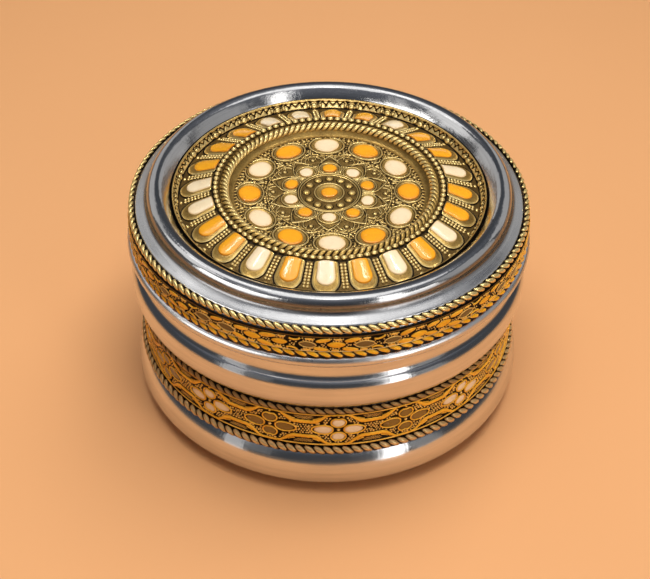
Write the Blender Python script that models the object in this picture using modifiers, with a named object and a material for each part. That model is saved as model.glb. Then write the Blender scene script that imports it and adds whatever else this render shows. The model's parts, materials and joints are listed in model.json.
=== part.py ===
"""A round lidded steel box with pressed brass trim and enamel inlays, in metres, +Z up.

The origin is the bottom centre, on the axis. The front of the box faces -Y. The lid lifts off along +Z.
"""

import math

import bmesh
import bpy
from mathutils import Matrix, Vector
from mathutils.geometry import delaunay_2d_cdt

# Driving dimensions
SEGMENTS = 48
TRIM_STEPS = 5
SHARP_DEG = 40.0
SHEET = 0.0009
CLEAR = 0.0003
MERGE = 0.000001

# Box: a lower bulge, a drawn-in waist, an upper bulge and a plain neck that the lid goes over
FOOT_INNER_RADIUS = 0.0585
BASE_RISE = 0.0010
BELLY_RADIUS = 0.0788
BELLY_Z = 0.0098
BELLY_DEPTH = 0.0070
BELLY_TURN_DEG = -41.0
FLARE_HEIGHT = 0.0108
FLARE_END_DEG = 75.0
WAIST_RADIUS = 0.0736
SHOULDER_RADIUS = 0.0787
SHOULDER_Z = 0.0526
SHOULDER_DEPTH = 0.0060
SHOULDER_DROP = 0.0082
SHOULDER_UNDER_DEG = -81.0
SHOULDER_TOP_Z = 0.0562
SHOULDER_ROUND = 0.0040
SHOULDER_START_DEG = 68.0
NECK_RADIUS = 0.0753
NECK_FOOT_Z = 0.0613
RIM_Z = 0.0838

# Waist trim: a rope, a band with flowers between waves, and a second rope
WAIST_TRIM_INNER = WAIST_RADIUS + CLEAR
BAND_LINE_WIDTH = 0.0009
BAND_LINE_HEIGHT = 0.0004
LOWER_ROPE = (0.0753, 0.0221, 0.0021)
WAIST_BAND_Z = (0.0246, 0.0411)
WAIST_BAND_RADIUS = 0.0751
FLOWER_COUNT = 18
FLOWER_TURN_DEG = 3.6
FLOWER_RISE = 0.0005
FLOWER_CREST_SCALE = 0.7
SIDE_PETAL = (0.0056, 0.0043, 0.0025)
TALL_PETAL = (0.0035, 0.0028, 0.0024)
FLOWER_PETAL_SIDES = 8
WAVE_REACH = (0.0054, 0.0019)
WAVE_SLOPE = 0.0006
WAVE_RISE = 0.0005
WAVE_STEPS = 6
UPPER_ROPE = (0.0751, 0.04295, 0.00155)

# Lid: a rolled lip, a wall, a sloping ledge, a high round ring and a sunk panel
LID_WALL_RADIUS = 0.0769
LIP_RADIUS = 0.0795
LIP_BOTTOM_Z = 0.0684
LIP_TOP_Z = 0.0728
LIP_START_DEG = 75.0
LID_CORNER_Z = 0.0834
LEDGE_OUTER = (0.0752, 0.0862)
RING_CENTRE = (0.0672, 0.08976)
RING_ROUND = 0.00375
RING_SLOPE_DEG = 132.6
RING_SLOPE_FOOT = (0.0616, 0.0893)
RING_FOOT = ((0.07115, 0.0884), (0.0721, 0.08755))
PANEL_Z = 0.0852

# Lid trim
LID_TRIM_INNER = LID_WALL_RADIUS + CLEAR
LID_LOWER_ROPE = (0.0770, 0.07455, 0.00160)
LID_BAND_Z = (0.0764, 0.0831)
LID_BAND_RADIUS = 0.0783
LID_UPPER_ROPE = (0.0767, 0.0852, 0.0014)
LID_UPPER_ROPE_FLAT = 0.00045
LID_UPPER_ROPE_DEG = 31.0

# Top plate: a sunk floor, a crown, a petal zone that slopes down, and a border that rises to the ring
PLATE_RADIUS = 0.0612
PLATE_EDGE_Z = 0.0896
PLATE_VALLEY = ((0.0570, 0.0863), (0.0586, 0.0862))
PLATE_CROWN_RADII = (0.0430, 0.0452)
PLATE_CROWN_Z = 0.0904
PLATE_FLOOR_RADIUS = 0.0367
PLATE_FLOOR_Z = 0.0870
ROPE_SLOPE_FOOT = (0.0390, 0.0886)
PLATE_UNDER_Z = 0.0854
PLATE_UNDER = ((0.0572, 0.0854), (0.0452, 0.0895), (0.0430, 0.0896), (0.0394, 0.0880), (0.0372, 0.0862))
BEAD_RING = (0.0442, 0.0910, 0.0011)
PLATE_ROPE = (0.0407, 0.0902, 0.0019)
PLATE_ROPE_FLAT = 0.0004
DISH_RISE = 0.0001
CORE_RINGS = ((0.0120, 0.0115, 0.0110), (0.0061, 0.0056, 0.0050))
CORE_RING_RISE = 0.0005
CORE_SIDES = 24
BOSS_COUNT = 12
BOSS_RING_RADIUS = 0.0089
BOSS_SIZE = (0.0028, 0.0028)
BOSS_RISE = 0.0007
BOSS_SIDES = 6

# Enamel inlays, each petal on a raised tongue and each inlay of the floor in a dish
PETAL_COUNT = 24
PETAL_TURN_DEG = -0.9
PETAL_COLOURS = "COCOCOOCOOCOOCCOOOCCOOCO"
TONGUE_FOOT = (0.0457, 0.0582, 0.0087, 0.0102)
TONGUE_CREST = (0.0463, 0.0573, 0.0072, 0.0084)
TONGUE_RISES = (0.0007, 0.0003)
PETAL = (0.0459, 0.0555, 0.0058, 0.0070)
PETAL_HEIGHT = 0.0006
PETAL_CORNER = 0.0008
PETAL_TIP_STEPS = 6
INLAY_GAP = 0.0001
OVAL_COUNT = 12
OVAL_TURN_DEG = 2.5
OVAL_RING_RADIUS = 0.0310
OVAL_SIZE = (0.0085, 0.0100)
OVAL_DISH = ((0.0110, 0.0144), (0.0102, 0.0134), (0.0088, 0.0106))
OVAL_DISH_RISE = 0.0006
OVAL_SIDES = 12
DOT_COUNT = 10
DOT_RING_RADIUS = 0.0156
DOT_SIZE = (0.0055, 0.0055)
DOT_DISH = ((0.0068, 0.0088), (0.0063, 0.0080), (0.0058, 0.0064))
DOT_DISH_RISE = 0.0005
DOT_SIDES = 10
CENTRE_SIZE = (0.0064, 0.0064)
INLAY_HEIGHT = 0.0007
CROWN_SCALE = 0.62
FRONT_DEG = -90.0

COLLECTION_NAME = "enamelled_steel_box"
STEEL = ("steel", (0.72, 0.69, 0.65), 0.28, 1.0)
BRASS = ("antique_brass", (0.55, 0.43, 0.22), 0.38, 1.0)
AMBER_BRASS = ("amber_brass", (0.72, 0.40, 0.08), 0.32, 0.6)
CREAM = ("cream_enamel", (0.99, 0.77, 0.48), 0.12, 0.0)
ORANGE = ("orange_enamel", (0.97, 0.42, 0.03), 0.12, 0.0)


def clear_scene():
    for obj in list(bpy.data.objects):
        bpy.data.objects.remove(obj, do_unlink=True)


def new_collection(name):
    collection = bpy.data.collections.new(name)
    bpy.context.scene.collection.children.link(collection)
    return collection


def material(look):
    """The Principled material of this name, made once."""
    name, colour, roughness, metallic = look
    found = bpy.data.materials.get(name)
    if found:
        return found
    made = bpy.data.materials.new(name)
    made.use_nodes = True
    shader = made.node_tree.nodes["Principled BSDF"]
    shader.inputs["Base Color"].default_value = (*colour, 1.0)
    shader.inputs["Roughness"].default_value = roughness
    shader.inputs["Metallic"].default_value = metallic
    made.diffuse_color = (*colour, 1.0)
    return made


def place(obj, collection, parent, look):
    collection.objects.link(obj)
    obj.parent = parent
    obj.data.materials.clear()
    obj.data.materials.append(material(look))
    obj.data.shade_smooth()
    obj.data.set_sharp_from_angle(angle=math.radians(SHARP_DEG))
    return obj


def frame_empty(name, collection):
    """An empty on the axis, which carries one rigid body's pieces."""
    empty = bpy.data.objects.new(name, None)
    empty.empty_display_size = 0.02
    collection.objects.link(empty)
    return empty


def arc(centre, radii, start_deg, end_deg, steps):
    """Points of an elliptical arc in the (radius, height) plane, both ends included."""
    points = []
    for step in range(steps + 1):
        turn = math.radians(start_deg + (end_deg - start_deg) * step / steps)
        points.append((centre[0] + radii[0] * math.cos(turn), centre[1] + radii[1] * math.sin(turn)))
    return points


def offset_line(points, distance):
    """The same line moved square to itself, towards the inside of a profile that runs down its outer side."""
    moved = []
    for index, (radius, height) in enumerate(points):
        sides = []
        for first, second in ((index - 1, index), (index, index + 1)):
            if first < 0 or second >= len(points):
                continue
            run = points[second][0] - points[first][0]
            rise = points[second][1] - points[first][1]
            length = math.hypot(run, rise)
            sides.append((rise / length, -run / length))
        across = [sum(side[axis] for side in sides) / len(sides) for axis in (0, 1)]
        scale = distance / (across[0] ** 2 + across[1] ** 2)
        moved.append((max(radius + across[0] * scale, 0.0), height + across[1] * scale))
    return moved


def turned(name, section, closed):
    """A profile in the XZ plane, turned about Z by a Screw modifier."""
    mesh = bpy.data.meshes.new(name)
    builder = bmesh.new()
    corners = [builder.verts.new((radius, 0.0, height)) for radius, height in section]
    for first, second in zip(corners, corners[1:]):
        builder.edges.new((first, second))
    if closed:
        builder.edges.new((corners[-1], corners[0]))
    builder.to_mesh(mesh)
    builder.free()
    obj = bpy.data.objects.new(name, mesh)
    screw = obj.modifiers.new("turn", "SCREW")
    screw.steps = SEGMENTS
    screw.render_steps = SEGMENTS
    screw.use_merge_vertices = True
    screw.merge_threshold = 0.00001
    screw.use_smooth_shade = True
    return obj


def d_section(centre, radius, flat, facing_deg):
    """A round section with one flat behind its centre. The round side faces the given angle."""
    half = 180.0 - math.degrees(math.acos(flat / radius))
    return arc(centre, (radius, radius), facing_deg + half, facing_deg - half, TRIM_STEPS)


def rope_ring(name, rope, inner_radius):
    """A trim ring round a wall, flat where it lies on the wall."""
    radius, height, round_radius = rope
    section = d_section((radius, height), round_radius, radius - inner_radius, 0.0)
    return turned(name, section, True)


def body_shell():
    """The pressed steel box, open at the neck."""
    rim_to_shoulder = [(NECK_RADIUS, RIM_Z), (NECK_RADIUS, NECK_FOOT_Z)]
    shoulder_core = SHOULDER_RADIUS - SHOULDER_ROUND
    shoulder_radii = (SHOULDER_ROUND, SHOULDER_ROUND)
    shoulder = arc((shoulder_core, SHOULDER_TOP_Z), shoulder_radii, SHOULDER_START_DEG, 0.0, 3)
    under_core = (SHOULDER_RADIUS - SHOULDER_DEPTH, SHOULDER_Z)
    under = arc(under_core, (SHOULDER_DEPTH, SHOULDER_DROP), 0.0, SHOULDER_UNDER_DEG, 4)
    belly_core = (BELLY_RADIUS - BELLY_DEPTH, BELLY_Z)
    flare = arc(belly_core, (BELLY_DEPTH, FLARE_HEIGHT), FLARE_END_DEG, 0.0, 4)
    belly = arc(belly_core, (BELLY_DEPTH, BELLY_DEPTH), 0.0, BELLY_TURN_DEG, 2)
    turn = math.radians(-BELLY_TURN_DEG)
    last_radius, last_height = belly[-1]
    foot_round = last_height / (1.0 - math.sin(turn))
    foot_core = (last_radius - foot_round * math.cos(turn), foot_round)
    underside = arc(foot_core, (foot_round, foot_round), BELLY_TURN_DEG, -90.0, 3)
    recess = [(FOOT_INNER_RADIUS, 0.0), (FOOT_INNER_RADIUS - 2 * BASE_RISE, BASE_RISE), (0.0, BASE_RISE)]
    outer = rim_to_shoulder + shoulder + under + flare + belly[1:] + underside[1:] + recess
    inner = offset_line(outer, SHEET)
    return turned("body_shell", inner[::-1] + outer, False)


def lid_top_line():
    """The lid's upper side, from the axis out over the ring and the ledge and down to the lip."""
    panel = [(0.0, PANEL_Z), (RING_SLOPE_FOOT[0], PANEL_Z), RING_SLOPE_FOOT]
    ring = arc(RING_CENTRE, (RING_ROUND, RING_ROUND), RING_SLOPE_DEG, 0.0, 7)
    wall = [LEDGE_OUTER, (LID_WALL_RADIUS, LID_CORNER_Z), (LID_WALL_RADIUS, LIP_TOP_Z)]
    return panel + ring + list(RING_FOOT) + wall


def lid_shell():
    """The pressed steel lid, with a solid lip where the edge is rolled over."""
    top = lid_top_line()
    under = offset_line(top, SHEET)
    lip_half = (LIP_TOP_Z - LIP_BOTTOM_Z) / 2
    lip_core = (LIP_RADIUS - lip_half, LIP_BOTTOM_Z + lip_half)
    lip = arc(lip_core, (lip_half, lip_half), LIP_START_DEG, -90.0, 5)
    inner_foot = (LID_WALL_RADIUS - SHEET, LIP_BOTTOM_Z + CLEAR)
    return turned("lid_shell", top + lip + [inner_foot] + under[::-1], False)


def band(name, inner_radius, outer_radius, heights):
    """A strip wrapped round a wall, with a raised line along both edges."""
    low, high = heights
    raised = outer_radius + BAND_LINE_HEIGHT
    section = [
        (inner_radius, high),
        (raised, high),
        (raised, high - BAND_LINE_WIDTH),
        (outer_radius, high - BAND_LINE_WIDTH),
        (outer_radius, low + BAND_LINE_WIDTH),
        (raised, low + BAND_LINE_WIDTH),
        (raised, low),
        (inner_radius, low),
    ]
    return turned(name, section, True)


def drawn_surface(builder, lines, spot):
    """Triangles through lines of (x, y, height) points, which stay as edges. spot gives each corner's place."""
    flat = []
    heights = []
    edges = []
    for line in lines:
        edges += [(index, index + 1) for index in range(len(flat), len(flat) + len(line) - 1)]
        flat += [Vector((x, y)) for x, y, _ in line]
        heights += [height for _, _, height in line]
    corners, _, faces, sources, _, _ = delaunay_2d_cdt(flat, edges, [], 0, MERGE)
    made = [builder.verts.new(spot(*corner, heights[source[0]])) for corner, source in zip(corners, sources)]
    for face in faces:
        builder.faces.new([made[index] for index in face])


def open_edges(builder):
    return [edge for edge in builder.edges if edge.is_boundary]


def carried(builder, edges, radius, height):
    """The loop that these edges make when they are extruded to a radius and a height, as edges."""
    grown = bmesh.ops.extrude_edge_only(builder, edges=edges)["geom"]
    for vert in (item for item in grown if isinstance(item, bmesh.types.BMVert)):
        turn = math.atan2(vert.co.y, vert.co.x)
        vert.co = (radius * math.cos(turn), radius * math.sin(turn), height)
    return [item for item in grown if isinstance(item, bmesh.types.BMEdge) and item.is_boundary]


def finished(name, builder):
    """The object of a closed body whose seams still lie open."""
    bmesh.ops.remove_doubles(builder, verts=builder.verts, dist=MERGE)
    bmesh.ops.recalc_face_normals(builder, faces=builder.faces)
    mesh = bpy.data.meshes.new(name)
    builder.to_mesh(mesh)
    builder.free()
    return bpy.data.objects.new(name, mesh)


def shape_line(outline, rise, turn_deg, ring_radius):
    """A closed line of (x, y, rise) points: an outline moved out to a circle and turned about the axis."""
    cosine = math.cos(math.radians(turn_deg))
    sine = math.sin(math.radians(turn_deg))
    line = []
    for x, y in [*outline, outline[0]]:
        out = x + ring_radius
        line.append((out * cosine - y * sine, out * sine + y * cosine, rise))
    return line


def flower_line(centre, size, rise, scale):
    """One petal of a waist flower, as a closed line of (along, up, rise) points."""
    half_along, half_up = (value * scale for value in size)
    outline = arc((0.0, 0.0), (half_along, half_up), 0.0, 360.0, FLOWER_PETAL_SIDES)
    return [(centre[0] + along, centre[1] + up, rise) for along, up in outline]


def waist_tile(width, half_height):
    """The lines of one flower and of the waves above and below it."""
    lines = []
    for side in (-1, 1):
        edge = []
        foot = []
        crest = []
        for step in range(WAVE_STEPS + 1):
            along = (step / WAVE_STEPS - 0.5) * width
            reach = WAVE_REACH[0] + WAVE_REACH[1] * math.cos(math.tau * along / width)
            foot.append((along, side * (reach - WAVE_SLOPE / 2), 0.0))
            crest.append((along, side * (reach + WAVE_SLOPE / 2), WAVE_RISE))
            edge.append((along, side * half_height, WAVE_RISE))
        lines += [foot, crest, edge]
        for scale, rise in ((1.0, 0.0), (FLOWER_CREST_SCALE, FLOWER_RISE)):
            lines.append(flower_line((side * SIDE_PETAL[0], 0.0), SIDE_PETAL[1:], rise, scale))
            lines.append(flower_line((0.0, side * TALL_PETAL[0]), TALL_PETAL[1:], rise, scale))
    return lines


def waist_band():
    """The strip round the waist, with a flower in each bay between two waves."""
    low, high = WAIST_BAND_Z
    middle = (low + high) / 2
    turn_step = math.tau / FLOWER_COUNT
    width = turn_step * WAIST_BAND_RADIUS
    builder = bmesh.new()
    for index in range(FLOWER_COUNT):
        start = math.radians(FRONT_DEG + FLOWER_TURN_DEG) + index * turn_step

        def spot(along, up, rise, start=start):
            radius = WAIST_BAND_RADIUS + rise
            turn = start + along / WAIST_BAND_RADIUS
            return (radius * math.cos(turn), radius * math.sin(turn), middle + up)

        drawn_surface(builder, waist_tile(width, high - middle), spot)
    bmesh.ops.remove_doubles(builder, verts=builder.verts, dist=MERGE)
    upper = [edge for edge in open_edges(builder) if edge.verts[0].co.z > middle]
    lower = [edge for edge in open_edges(builder) if edge.verts[0].co.z < middle]
    carried(builder, lower, WAIST_TRIM_INNER, low)
    carried(builder, carried(builder, upper, WAIST_TRIM_INNER, high), WAIST_TRIM_INNER, low)
    return finished("waist_band", builder)


def plate_ground(radius):
    """The height of the plate's upper side at a radius, without its relief."""
    crown_inner, crown_outer = PLATE_CROWN_RADII
    line = [
        (0.0, PLATE_FLOOR_Z),
        (PLATE_FLOOR_RADIUS, PLATE_FLOOR_Z),
        ROPE_SLOPE_FOOT,
        (crown_inner, PLATE_CROWN_Z),
        (crown_outer, PLATE_CROWN_Z),
        *PLATE_VALLEY,
        (PLATE_RADIUS, PLATE_EDGE_Z),
    ]
    for (near, low), (far, high) in zip(line, line[1:]):
        if radius <= far:
            return low + (high - low) * max(radius - near, 0.0) / (far - near)
    return PLATE_EDGE_Z


def tongue_top(radius):
    """The height of a tongue's crest at a radius."""
    share = (radius - TONGUE_CREST[0]) / (TONGUE_CREST[1] - TONGUE_CREST[0])
    return plate_ground(radius) + TONGUE_RISES[0] + (TONGUE_RISES[1] - TONGUE_RISES[0]) * min(share, 1.0)


def dish_lines(count, ring_radius, start_deg, sizes, rise, sides):
    """Dishes on a circle: the foot outside, the rim and the bottom of each."""
    lines = []
    for index in range(count):
        turn = FRONT_DEG + start_deg + index * 360.0 / count
        for size, height in zip(sizes, (0.0, rise, DISH_RISE)):
            lines.append(shape_line(oval_outline(size, sides), PLATE_FLOOR_Z + height, turn, ring_radius))
    return lines


def plate_lines():
    """The lines of the plate's upper side, with its main relief."""
    lines = []
    crown_inner, crown_outer = PLATE_CROWN_RADII
    rings = (PLATE_FLOOR_RADIUS, ROPE_SLOPE_FOOT[0], crown_inner, crown_outer, PLATE_VALLEY[1][0], PLATE_RADIUS)
    for radius in rings:
        lines.append(shape_line(oval_outline((2 * radius, 2 * radius), SEGMENTS), plate_ground(radius), 0.0, 0.0))
    for index in range(PETAL_COUNT):
        turn = FRONT_DEG + PETAL_TURN_DEG + index * 360.0 / PETAL_COUNT
        for size, top in ((TONGUE_FOOT, plate_ground), (TONGUE_CREST, tongue_top)):
            outline = petal_outline(size, 0.0)
            line = shape_line(outline, 0.0, turn, 0.0)
            lines.append([(x, y, top(math.hypot(x, y))) for x, y, _ in line])
    lines += dish_lines(OVAL_COUNT, OVAL_RING_RADIUS, OVAL_TURN_DEG, OVAL_DISH, OVAL_DISH_RISE, OVAL_SIDES)
    lines += dish_lines(DOT_COUNT, DOT_RING_RADIUS, 0.0, DOT_DISH, DOT_DISH_RISE, DOT_SIDES)
    for radii in CORE_RINGS:
        for radius, rise in zip(radii, (0.0, CORE_RING_RISE, DISH_RISE)):
            outline = oval_outline((2 * radius, 2 * radius), CORE_SIDES)
            lines.append(shape_line(outline, PLATE_FLOOR_Z + rise, 0.0, 0.0))
    for index in range(BOSS_COUNT):
        turn = FRONT_DEG + index * 360.0 / BOSS_COUNT
        outline = oval_outline(BOSS_SIZE, BOSS_SIDES)
        lines.append(shape_line(outline, PLATE_FLOOR_Z + DISH_RISE, turn, BOSS_RING_RADIUS))
        lines.append(shape_line([(0.0, 0.0)], PLATE_FLOOR_Z + BOSS_RISE, turn, BOSS_RING_RADIUS)[:1])
    return lines


def top_plate():
    """The pressed brass plate that lies in the lid's ring."""
    builder = bmesh.new()
    drawn_surface(builder, plate_lines(), lambda x, y, height: (x, y, height))
    edges = open_edges(builder)
    for radius, height in ((PLATE_RADIUS, PLATE_UNDER_Z), *PLATE_UNDER):
        edges = carried(builder, edges, radius, height)
    bmesh.ops.contextual_create(builder, geom=edges)
    return finished("top_plate", builder)


def plate_bead_ring():
    radius, height, round_radius = BEAD_RING
    flat = height - PLATE_CROWN_Z - CLEAR
    return turned("plate_bead_ring", d_section((radius, height), round_radius, flat, 90.0), True)


def plate_rope_ring():
    """The rope on the plate's inner slope, its round side square to the slope."""
    run = PLATE_CROWN_RADII[0] - ROPE_SLOPE_FOOT[0]
    rise = PLATE_CROWN_Z - ROPE_SLOPE_FOOT[1]
    facing = 90.0 + math.degrees(math.atan2(rise, run))
    radius, height, round_radius = PLATE_ROPE
    section = d_section((radius, height), round_radius, PLATE_ROPE_FLAT, facing)
    return turned("plate_rope_ring", section, True)


def lid_upper_rope():
    """The rope on the lid's corner, its flat along the chamfer."""
    radius, height, round_radius = LID_UPPER_ROPE
    section = d_section((radius, height), round_radius, LID_UPPER_ROPE_FLAT, LID_UPPER_ROPE_DEG)
    return turned("lid_rope_upper", section, True)


def lifted_copy(builder, face, rise, scale):
    """The face that an extrusion makes from this one, moved up and drawn in."""
    grown = bmesh.ops.extrude_face_region(builder, geom=[face])["geom"]
    top = next(item for item in grown if isinstance(item, bmesh.types.BMFace))
    bmesh.ops.translate(builder, vec=(0.0, 0.0, rise), verts=top.verts)
    bmesh.ops.scale(builder, vec=(scale, scale, 1.0), verts=top.verts)
    return top


def pad_mesh(name, outline, height):
    """A low pad: straight sides up to half its height, then a crown that draws in."""
    builder = bmesh.new()
    base = builder.faces.new([builder.verts.new((x, y, 0.0)) for x, y in outline])
    shoulder = lifted_copy(builder, base, height / 2, 1.0)
    lifted_copy(builder, shoulder, height / 2, CROWN_SCALE)
    builder.faces.remove(shoulder)
    bmesh.ops.recalc_face_normals(builder, faces=builder.faces)
    mesh = bpy.data.meshes.new(name)
    builder.to_mesh(mesh)
    builder.free()
    return mesh


def petal_outline(size, corner):
    """A petal in its place along +X from the axis: a square inner end, and a round outer end."""
    near, far, inner_width, outer_width = size
    half_inner = inner_width / 2
    half_outer = outer_width / 2
    tip = arc((far - half_outer, 0.0), (half_outer, half_outer), -90.0, 90.0, PETAL_TIP_STEPS)
    if not corner:
        return [(near, -half_inner)] + tip + [(near, half_inner)]
    return [(near + corner, -half_inner)] + tip + [
        (near + corner, half_inner),
        (near, half_inner - corner),
        (near, corner - half_inner),
    ]


def oval_outline(size, sides):
    return arc((0.0, 0.0), (size[0] / 2, size[1] / 2), 0.0, 360.0, sides)[:-1]


def inlay(name, mesh, turn_deg, ring_radius, height, tilt):
    """An inlay on a circle about the axis, at an angle from +X, tilted down towards the outside."""
    obj = bpy.data.objects.new(name, mesh)
    turn = Matrix.Rotation(math.radians(turn_deg), 4, "Z")
    obj.matrix_local = turn @ Matrix.Translation((ring_radius, 0.0, height)) @ Matrix.Rotation(tilt, 4, "Y")
    return obj


def petal_inlays():
    """The ring of petals, as pairs of object and look."""
    middle = (PETAL[0] + PETAL[1]) / 2
    tilt = math.atan2(tongue_top(PETAL[0]) - tongue_top(PETAL[1]), PETAL[1] - PETAL[0])
    outline = [(x - middle, y) for x, y in petal_outline(PETAL, PETAL_CORNER)]
    made = []
    for index in range(PETAL_COUNT):
        look = CREAM if PETAL_COLOURS[index] == "C" else ORANGE
        name = f"petal_enamel_{index + 1:02d}"
        mesh = pad_mesh(name, outline, PETAL_HEIGHT)
        turn = FRONT_DEG + PETAL_TURN_DEG + index * 360.0 / PETAL_COUNT
        made.append((inlay(name, mesh, turn, middle, tongue_top(middle) + INLAY_GAP, tilt), look))
    return made


def floor_inlays(kind, count, ring_radius, size, start_deg, sides):
    """Inlays on the sunk floor, cream and orange in turn from the front."""
    made = []
    for index in range(count):
        look = ORANGE if index % 2 else CREAM
        name = f"{kind}_enamel_{index + 1:02d}"
        mesh = pad_mesh(name, oval_outline(size, sides), INLAY_HEIGHT)
        turn = FRONT_DEG + start_deg + index * 360.0 / count
        made.append((inlay(name, mesh, turn, ring_radius, PLATE_FLOOR_Z + CLEAR, 0.0), look))
    return made


def main():
    clear_scene()
    collection = new_collection(COLLECTION_NAME)
    box = frame_empty("box_frame", collection)
    lid = frame_empty("lid_frame", collection)

    place(body_shell(), collection, box, STEEL)
    place(waist_band(), collection, box, AMBER_BRASS)
    place(rope_ring("waist_rope_lower", LOWER_ROPE, WAIST_TRIM_INNER), collection, box, BRASS)
    place(rope_ring("waist_rope_upper", UPPER_ROPE, WAIST_TRIM_INNER), collection, box, BRASS)

    place(lid_shell(), collection, lid, STEEL)
    place(band("lid_band", LID_TRIM_INNER, LID_BAND_RADIUS, LID_BAND_Z), collection, lid, AMBER_BRASS)
    place(rope_ring("lid_rope_lower", LID_LOWER_ROPE, LID_TRIM_INNER), collection, lid, BRASS)
    place(lid_upper_rope(), collection, lid, BRASS)
    place(top_plate(), collection, lid, BRASS)
    place(plate_bead_ring(), collection, lid, BRASS)
    place(plate_rope_ring(), collection, lid, BRASS)

    centre = pad_mesh("centre_enamel", oval_outline(CENTRE_SIZE, DOT_SIDES), INLAY_HEIGHT)
    inlays = petal_inlays()
    inlays += floor_inlays("oval", OVAL_COUNT, OVAL_RING_RADIUS, OVAL_SIZE, OVAL_TURN_DEG, OVAL_SIDES)
    inlays += floor_inlays("dot", DOT_COUNT, DOT_RING_RADIUS, DOT_SIZE, 0.0, DOT_SIDES)
    inlays.append((inlay("centre_enamel", centre, 0.0, 0.0, PLATE_FLOOR_Z + CLEAR, 0.0), ORANGE))
    for obj, look in inlays:
        place(obj, collection, lid, look)


main()
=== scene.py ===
"""The looks of the round lidded steel box: its fine pieces, finishes, floor, lamps and camera."""

import json
import math

import bpy
import numpy as np
from mathutils import Matrix, Vector

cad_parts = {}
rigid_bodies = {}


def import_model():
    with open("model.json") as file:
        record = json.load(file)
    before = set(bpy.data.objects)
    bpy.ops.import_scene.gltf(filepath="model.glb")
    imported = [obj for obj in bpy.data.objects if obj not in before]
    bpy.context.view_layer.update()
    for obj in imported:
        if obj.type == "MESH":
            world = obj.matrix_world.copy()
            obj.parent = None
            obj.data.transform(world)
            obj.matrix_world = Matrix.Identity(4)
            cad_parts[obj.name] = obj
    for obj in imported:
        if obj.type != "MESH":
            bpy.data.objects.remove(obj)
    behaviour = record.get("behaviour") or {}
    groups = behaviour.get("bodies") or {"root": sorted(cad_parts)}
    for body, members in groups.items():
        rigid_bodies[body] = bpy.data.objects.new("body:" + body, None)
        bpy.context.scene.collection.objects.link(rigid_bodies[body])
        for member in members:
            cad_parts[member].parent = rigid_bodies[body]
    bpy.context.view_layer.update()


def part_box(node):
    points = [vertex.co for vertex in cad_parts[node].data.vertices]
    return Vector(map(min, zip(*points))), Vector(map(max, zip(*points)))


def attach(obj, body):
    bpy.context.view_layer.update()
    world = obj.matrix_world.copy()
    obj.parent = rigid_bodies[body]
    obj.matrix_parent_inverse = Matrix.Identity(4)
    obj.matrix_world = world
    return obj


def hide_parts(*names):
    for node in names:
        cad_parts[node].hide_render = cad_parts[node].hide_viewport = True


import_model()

MM = 0.001
TAU = 2 * math.pi
FRONT = -math.pi / 2
FAR_AWAY = 1e9


def around(steps):
    """Angles at even steps round a full turn."""
    return np.arange(steps) / steps * TAU


def spokes(count, start):
    """Angles of count spokes, the first at the start."""
    return [start + TAU * index / count for index in range(count)]


def node_box(name):
    """A CAD node's lowest and highest corner, in millimetres."""
    low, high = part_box(name)
    return low / MM, high / MM


# Sizes in millimetres. What other pieces must meet comes from the CAD nodes.
LIP_RADIUS = node_box("lid_shell")[1].x
LIP_BOTTOM_Z = node_box("lid_shell")[0].z
RIM_Z = node_box("body_shell")[1].z
BELLY_RADIUS = node_box("body_shell")[1].x
PLATE_RADIUS = node_box("top_plate")[1].x
PLATE_EDGE_DROP = 0.8
PLATE_EDGE_Z = node_box("top_plate")[1].z - PLATE_EDGE_DROP
PLATE_UNDER_Z = node_box("top_plate")[0].z
INLAY_GAP = 0.3
FLOOR_Z = node_box("oval_enamel_01")[0].z - INLAY_GAP
FLOOR_UNDER_Z = FLOOR_Z - 0.8
INLAY_Z = FLOOR_Z + 0.46
FLOOR_SPLIT = 20.0

# Steps round the axis, the last two for one petal and for one strand of rope
STEEL_COLUMNS = 288
STRIP_COLUMNS = 360
FLOOR_COLUMNS = (540, 1080)
PETAL_COLUMNS = 50
STRAND_COLUMNS = 16

# Steel sheet, box and lid
SHEET = 0.9
BELLY_Z = 9.8
BELLY_DEPTH = 7.0
FLARE_HEIGHT = 10.8
SHOULDER_RADIUS = 78.7
SHOULDER_Z = 52.6
SHOULDER_DEPTH = 6.0
SHOULDER_DROP = 8.2
SHOULDER_TOP_Z = 56.2
SHOULDER_ROUND = 4.0
NECK_RADIUS = 75.3
NECK_FOOT_Z = 61.3
FOOT_DEG = 41.0
FOOT_RADIUS = 58.5
BOTTOM_Z = 1.0

LID_WALL_RADIUS = 76.9
LIP_TOP_Z = 72.8
RING_CENTRE = (67.2, 89.76)
RING_ROUND = 3.73
PANEL_Z = 85.2

# Pressed plate and its enamel
CROWN_RADII = (43.0, 45.2)
CROWN_Z = 90.4
VALLEY = ((57.0, 86.3), (58.6, 86.2))
BORDER_RADIUS = 58.7
PETAL_COUNT = 24
PETAL_TURN = math.radians(-0.9)
PETAL_COLOURS = "COCOCOOCOOCOOCCOOOCCOOCO"
# Each form: its inner and outer end, and half its width at both
TONGUE = (45.7, 58.2, 4.35, 5.1)
PETAL = (45.95, 55.6, 3.05, 3.55)
# A tongue's rise at both ends, and how far in from its edge it levels out
TONGUE_RISES = (0.95, 0.7)
TONGUE_PILLOW = 4.2

OVAL_COUNT = 12
OVAL_TURN = math.radians(2.5)
OVAL_RING = 31.0
DOT_COUNT = 10
DOT_RING = 15.6
DOT_HALVES, OVAL_HALVES = (2.55, 2.75), (4.2, 5.1)
BOSS_COUNT = 12
RIM_BEAD_COUNT = 120
BEAD_ROWS, BEAD_ROW_START, BEAD_ROW_STEP, BEAD_SIDE = 8, 46.9, 1.28, 0.68
RING_BEAD_COUNT = 96
RING_BEAD_RADIUS = 44.2

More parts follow.
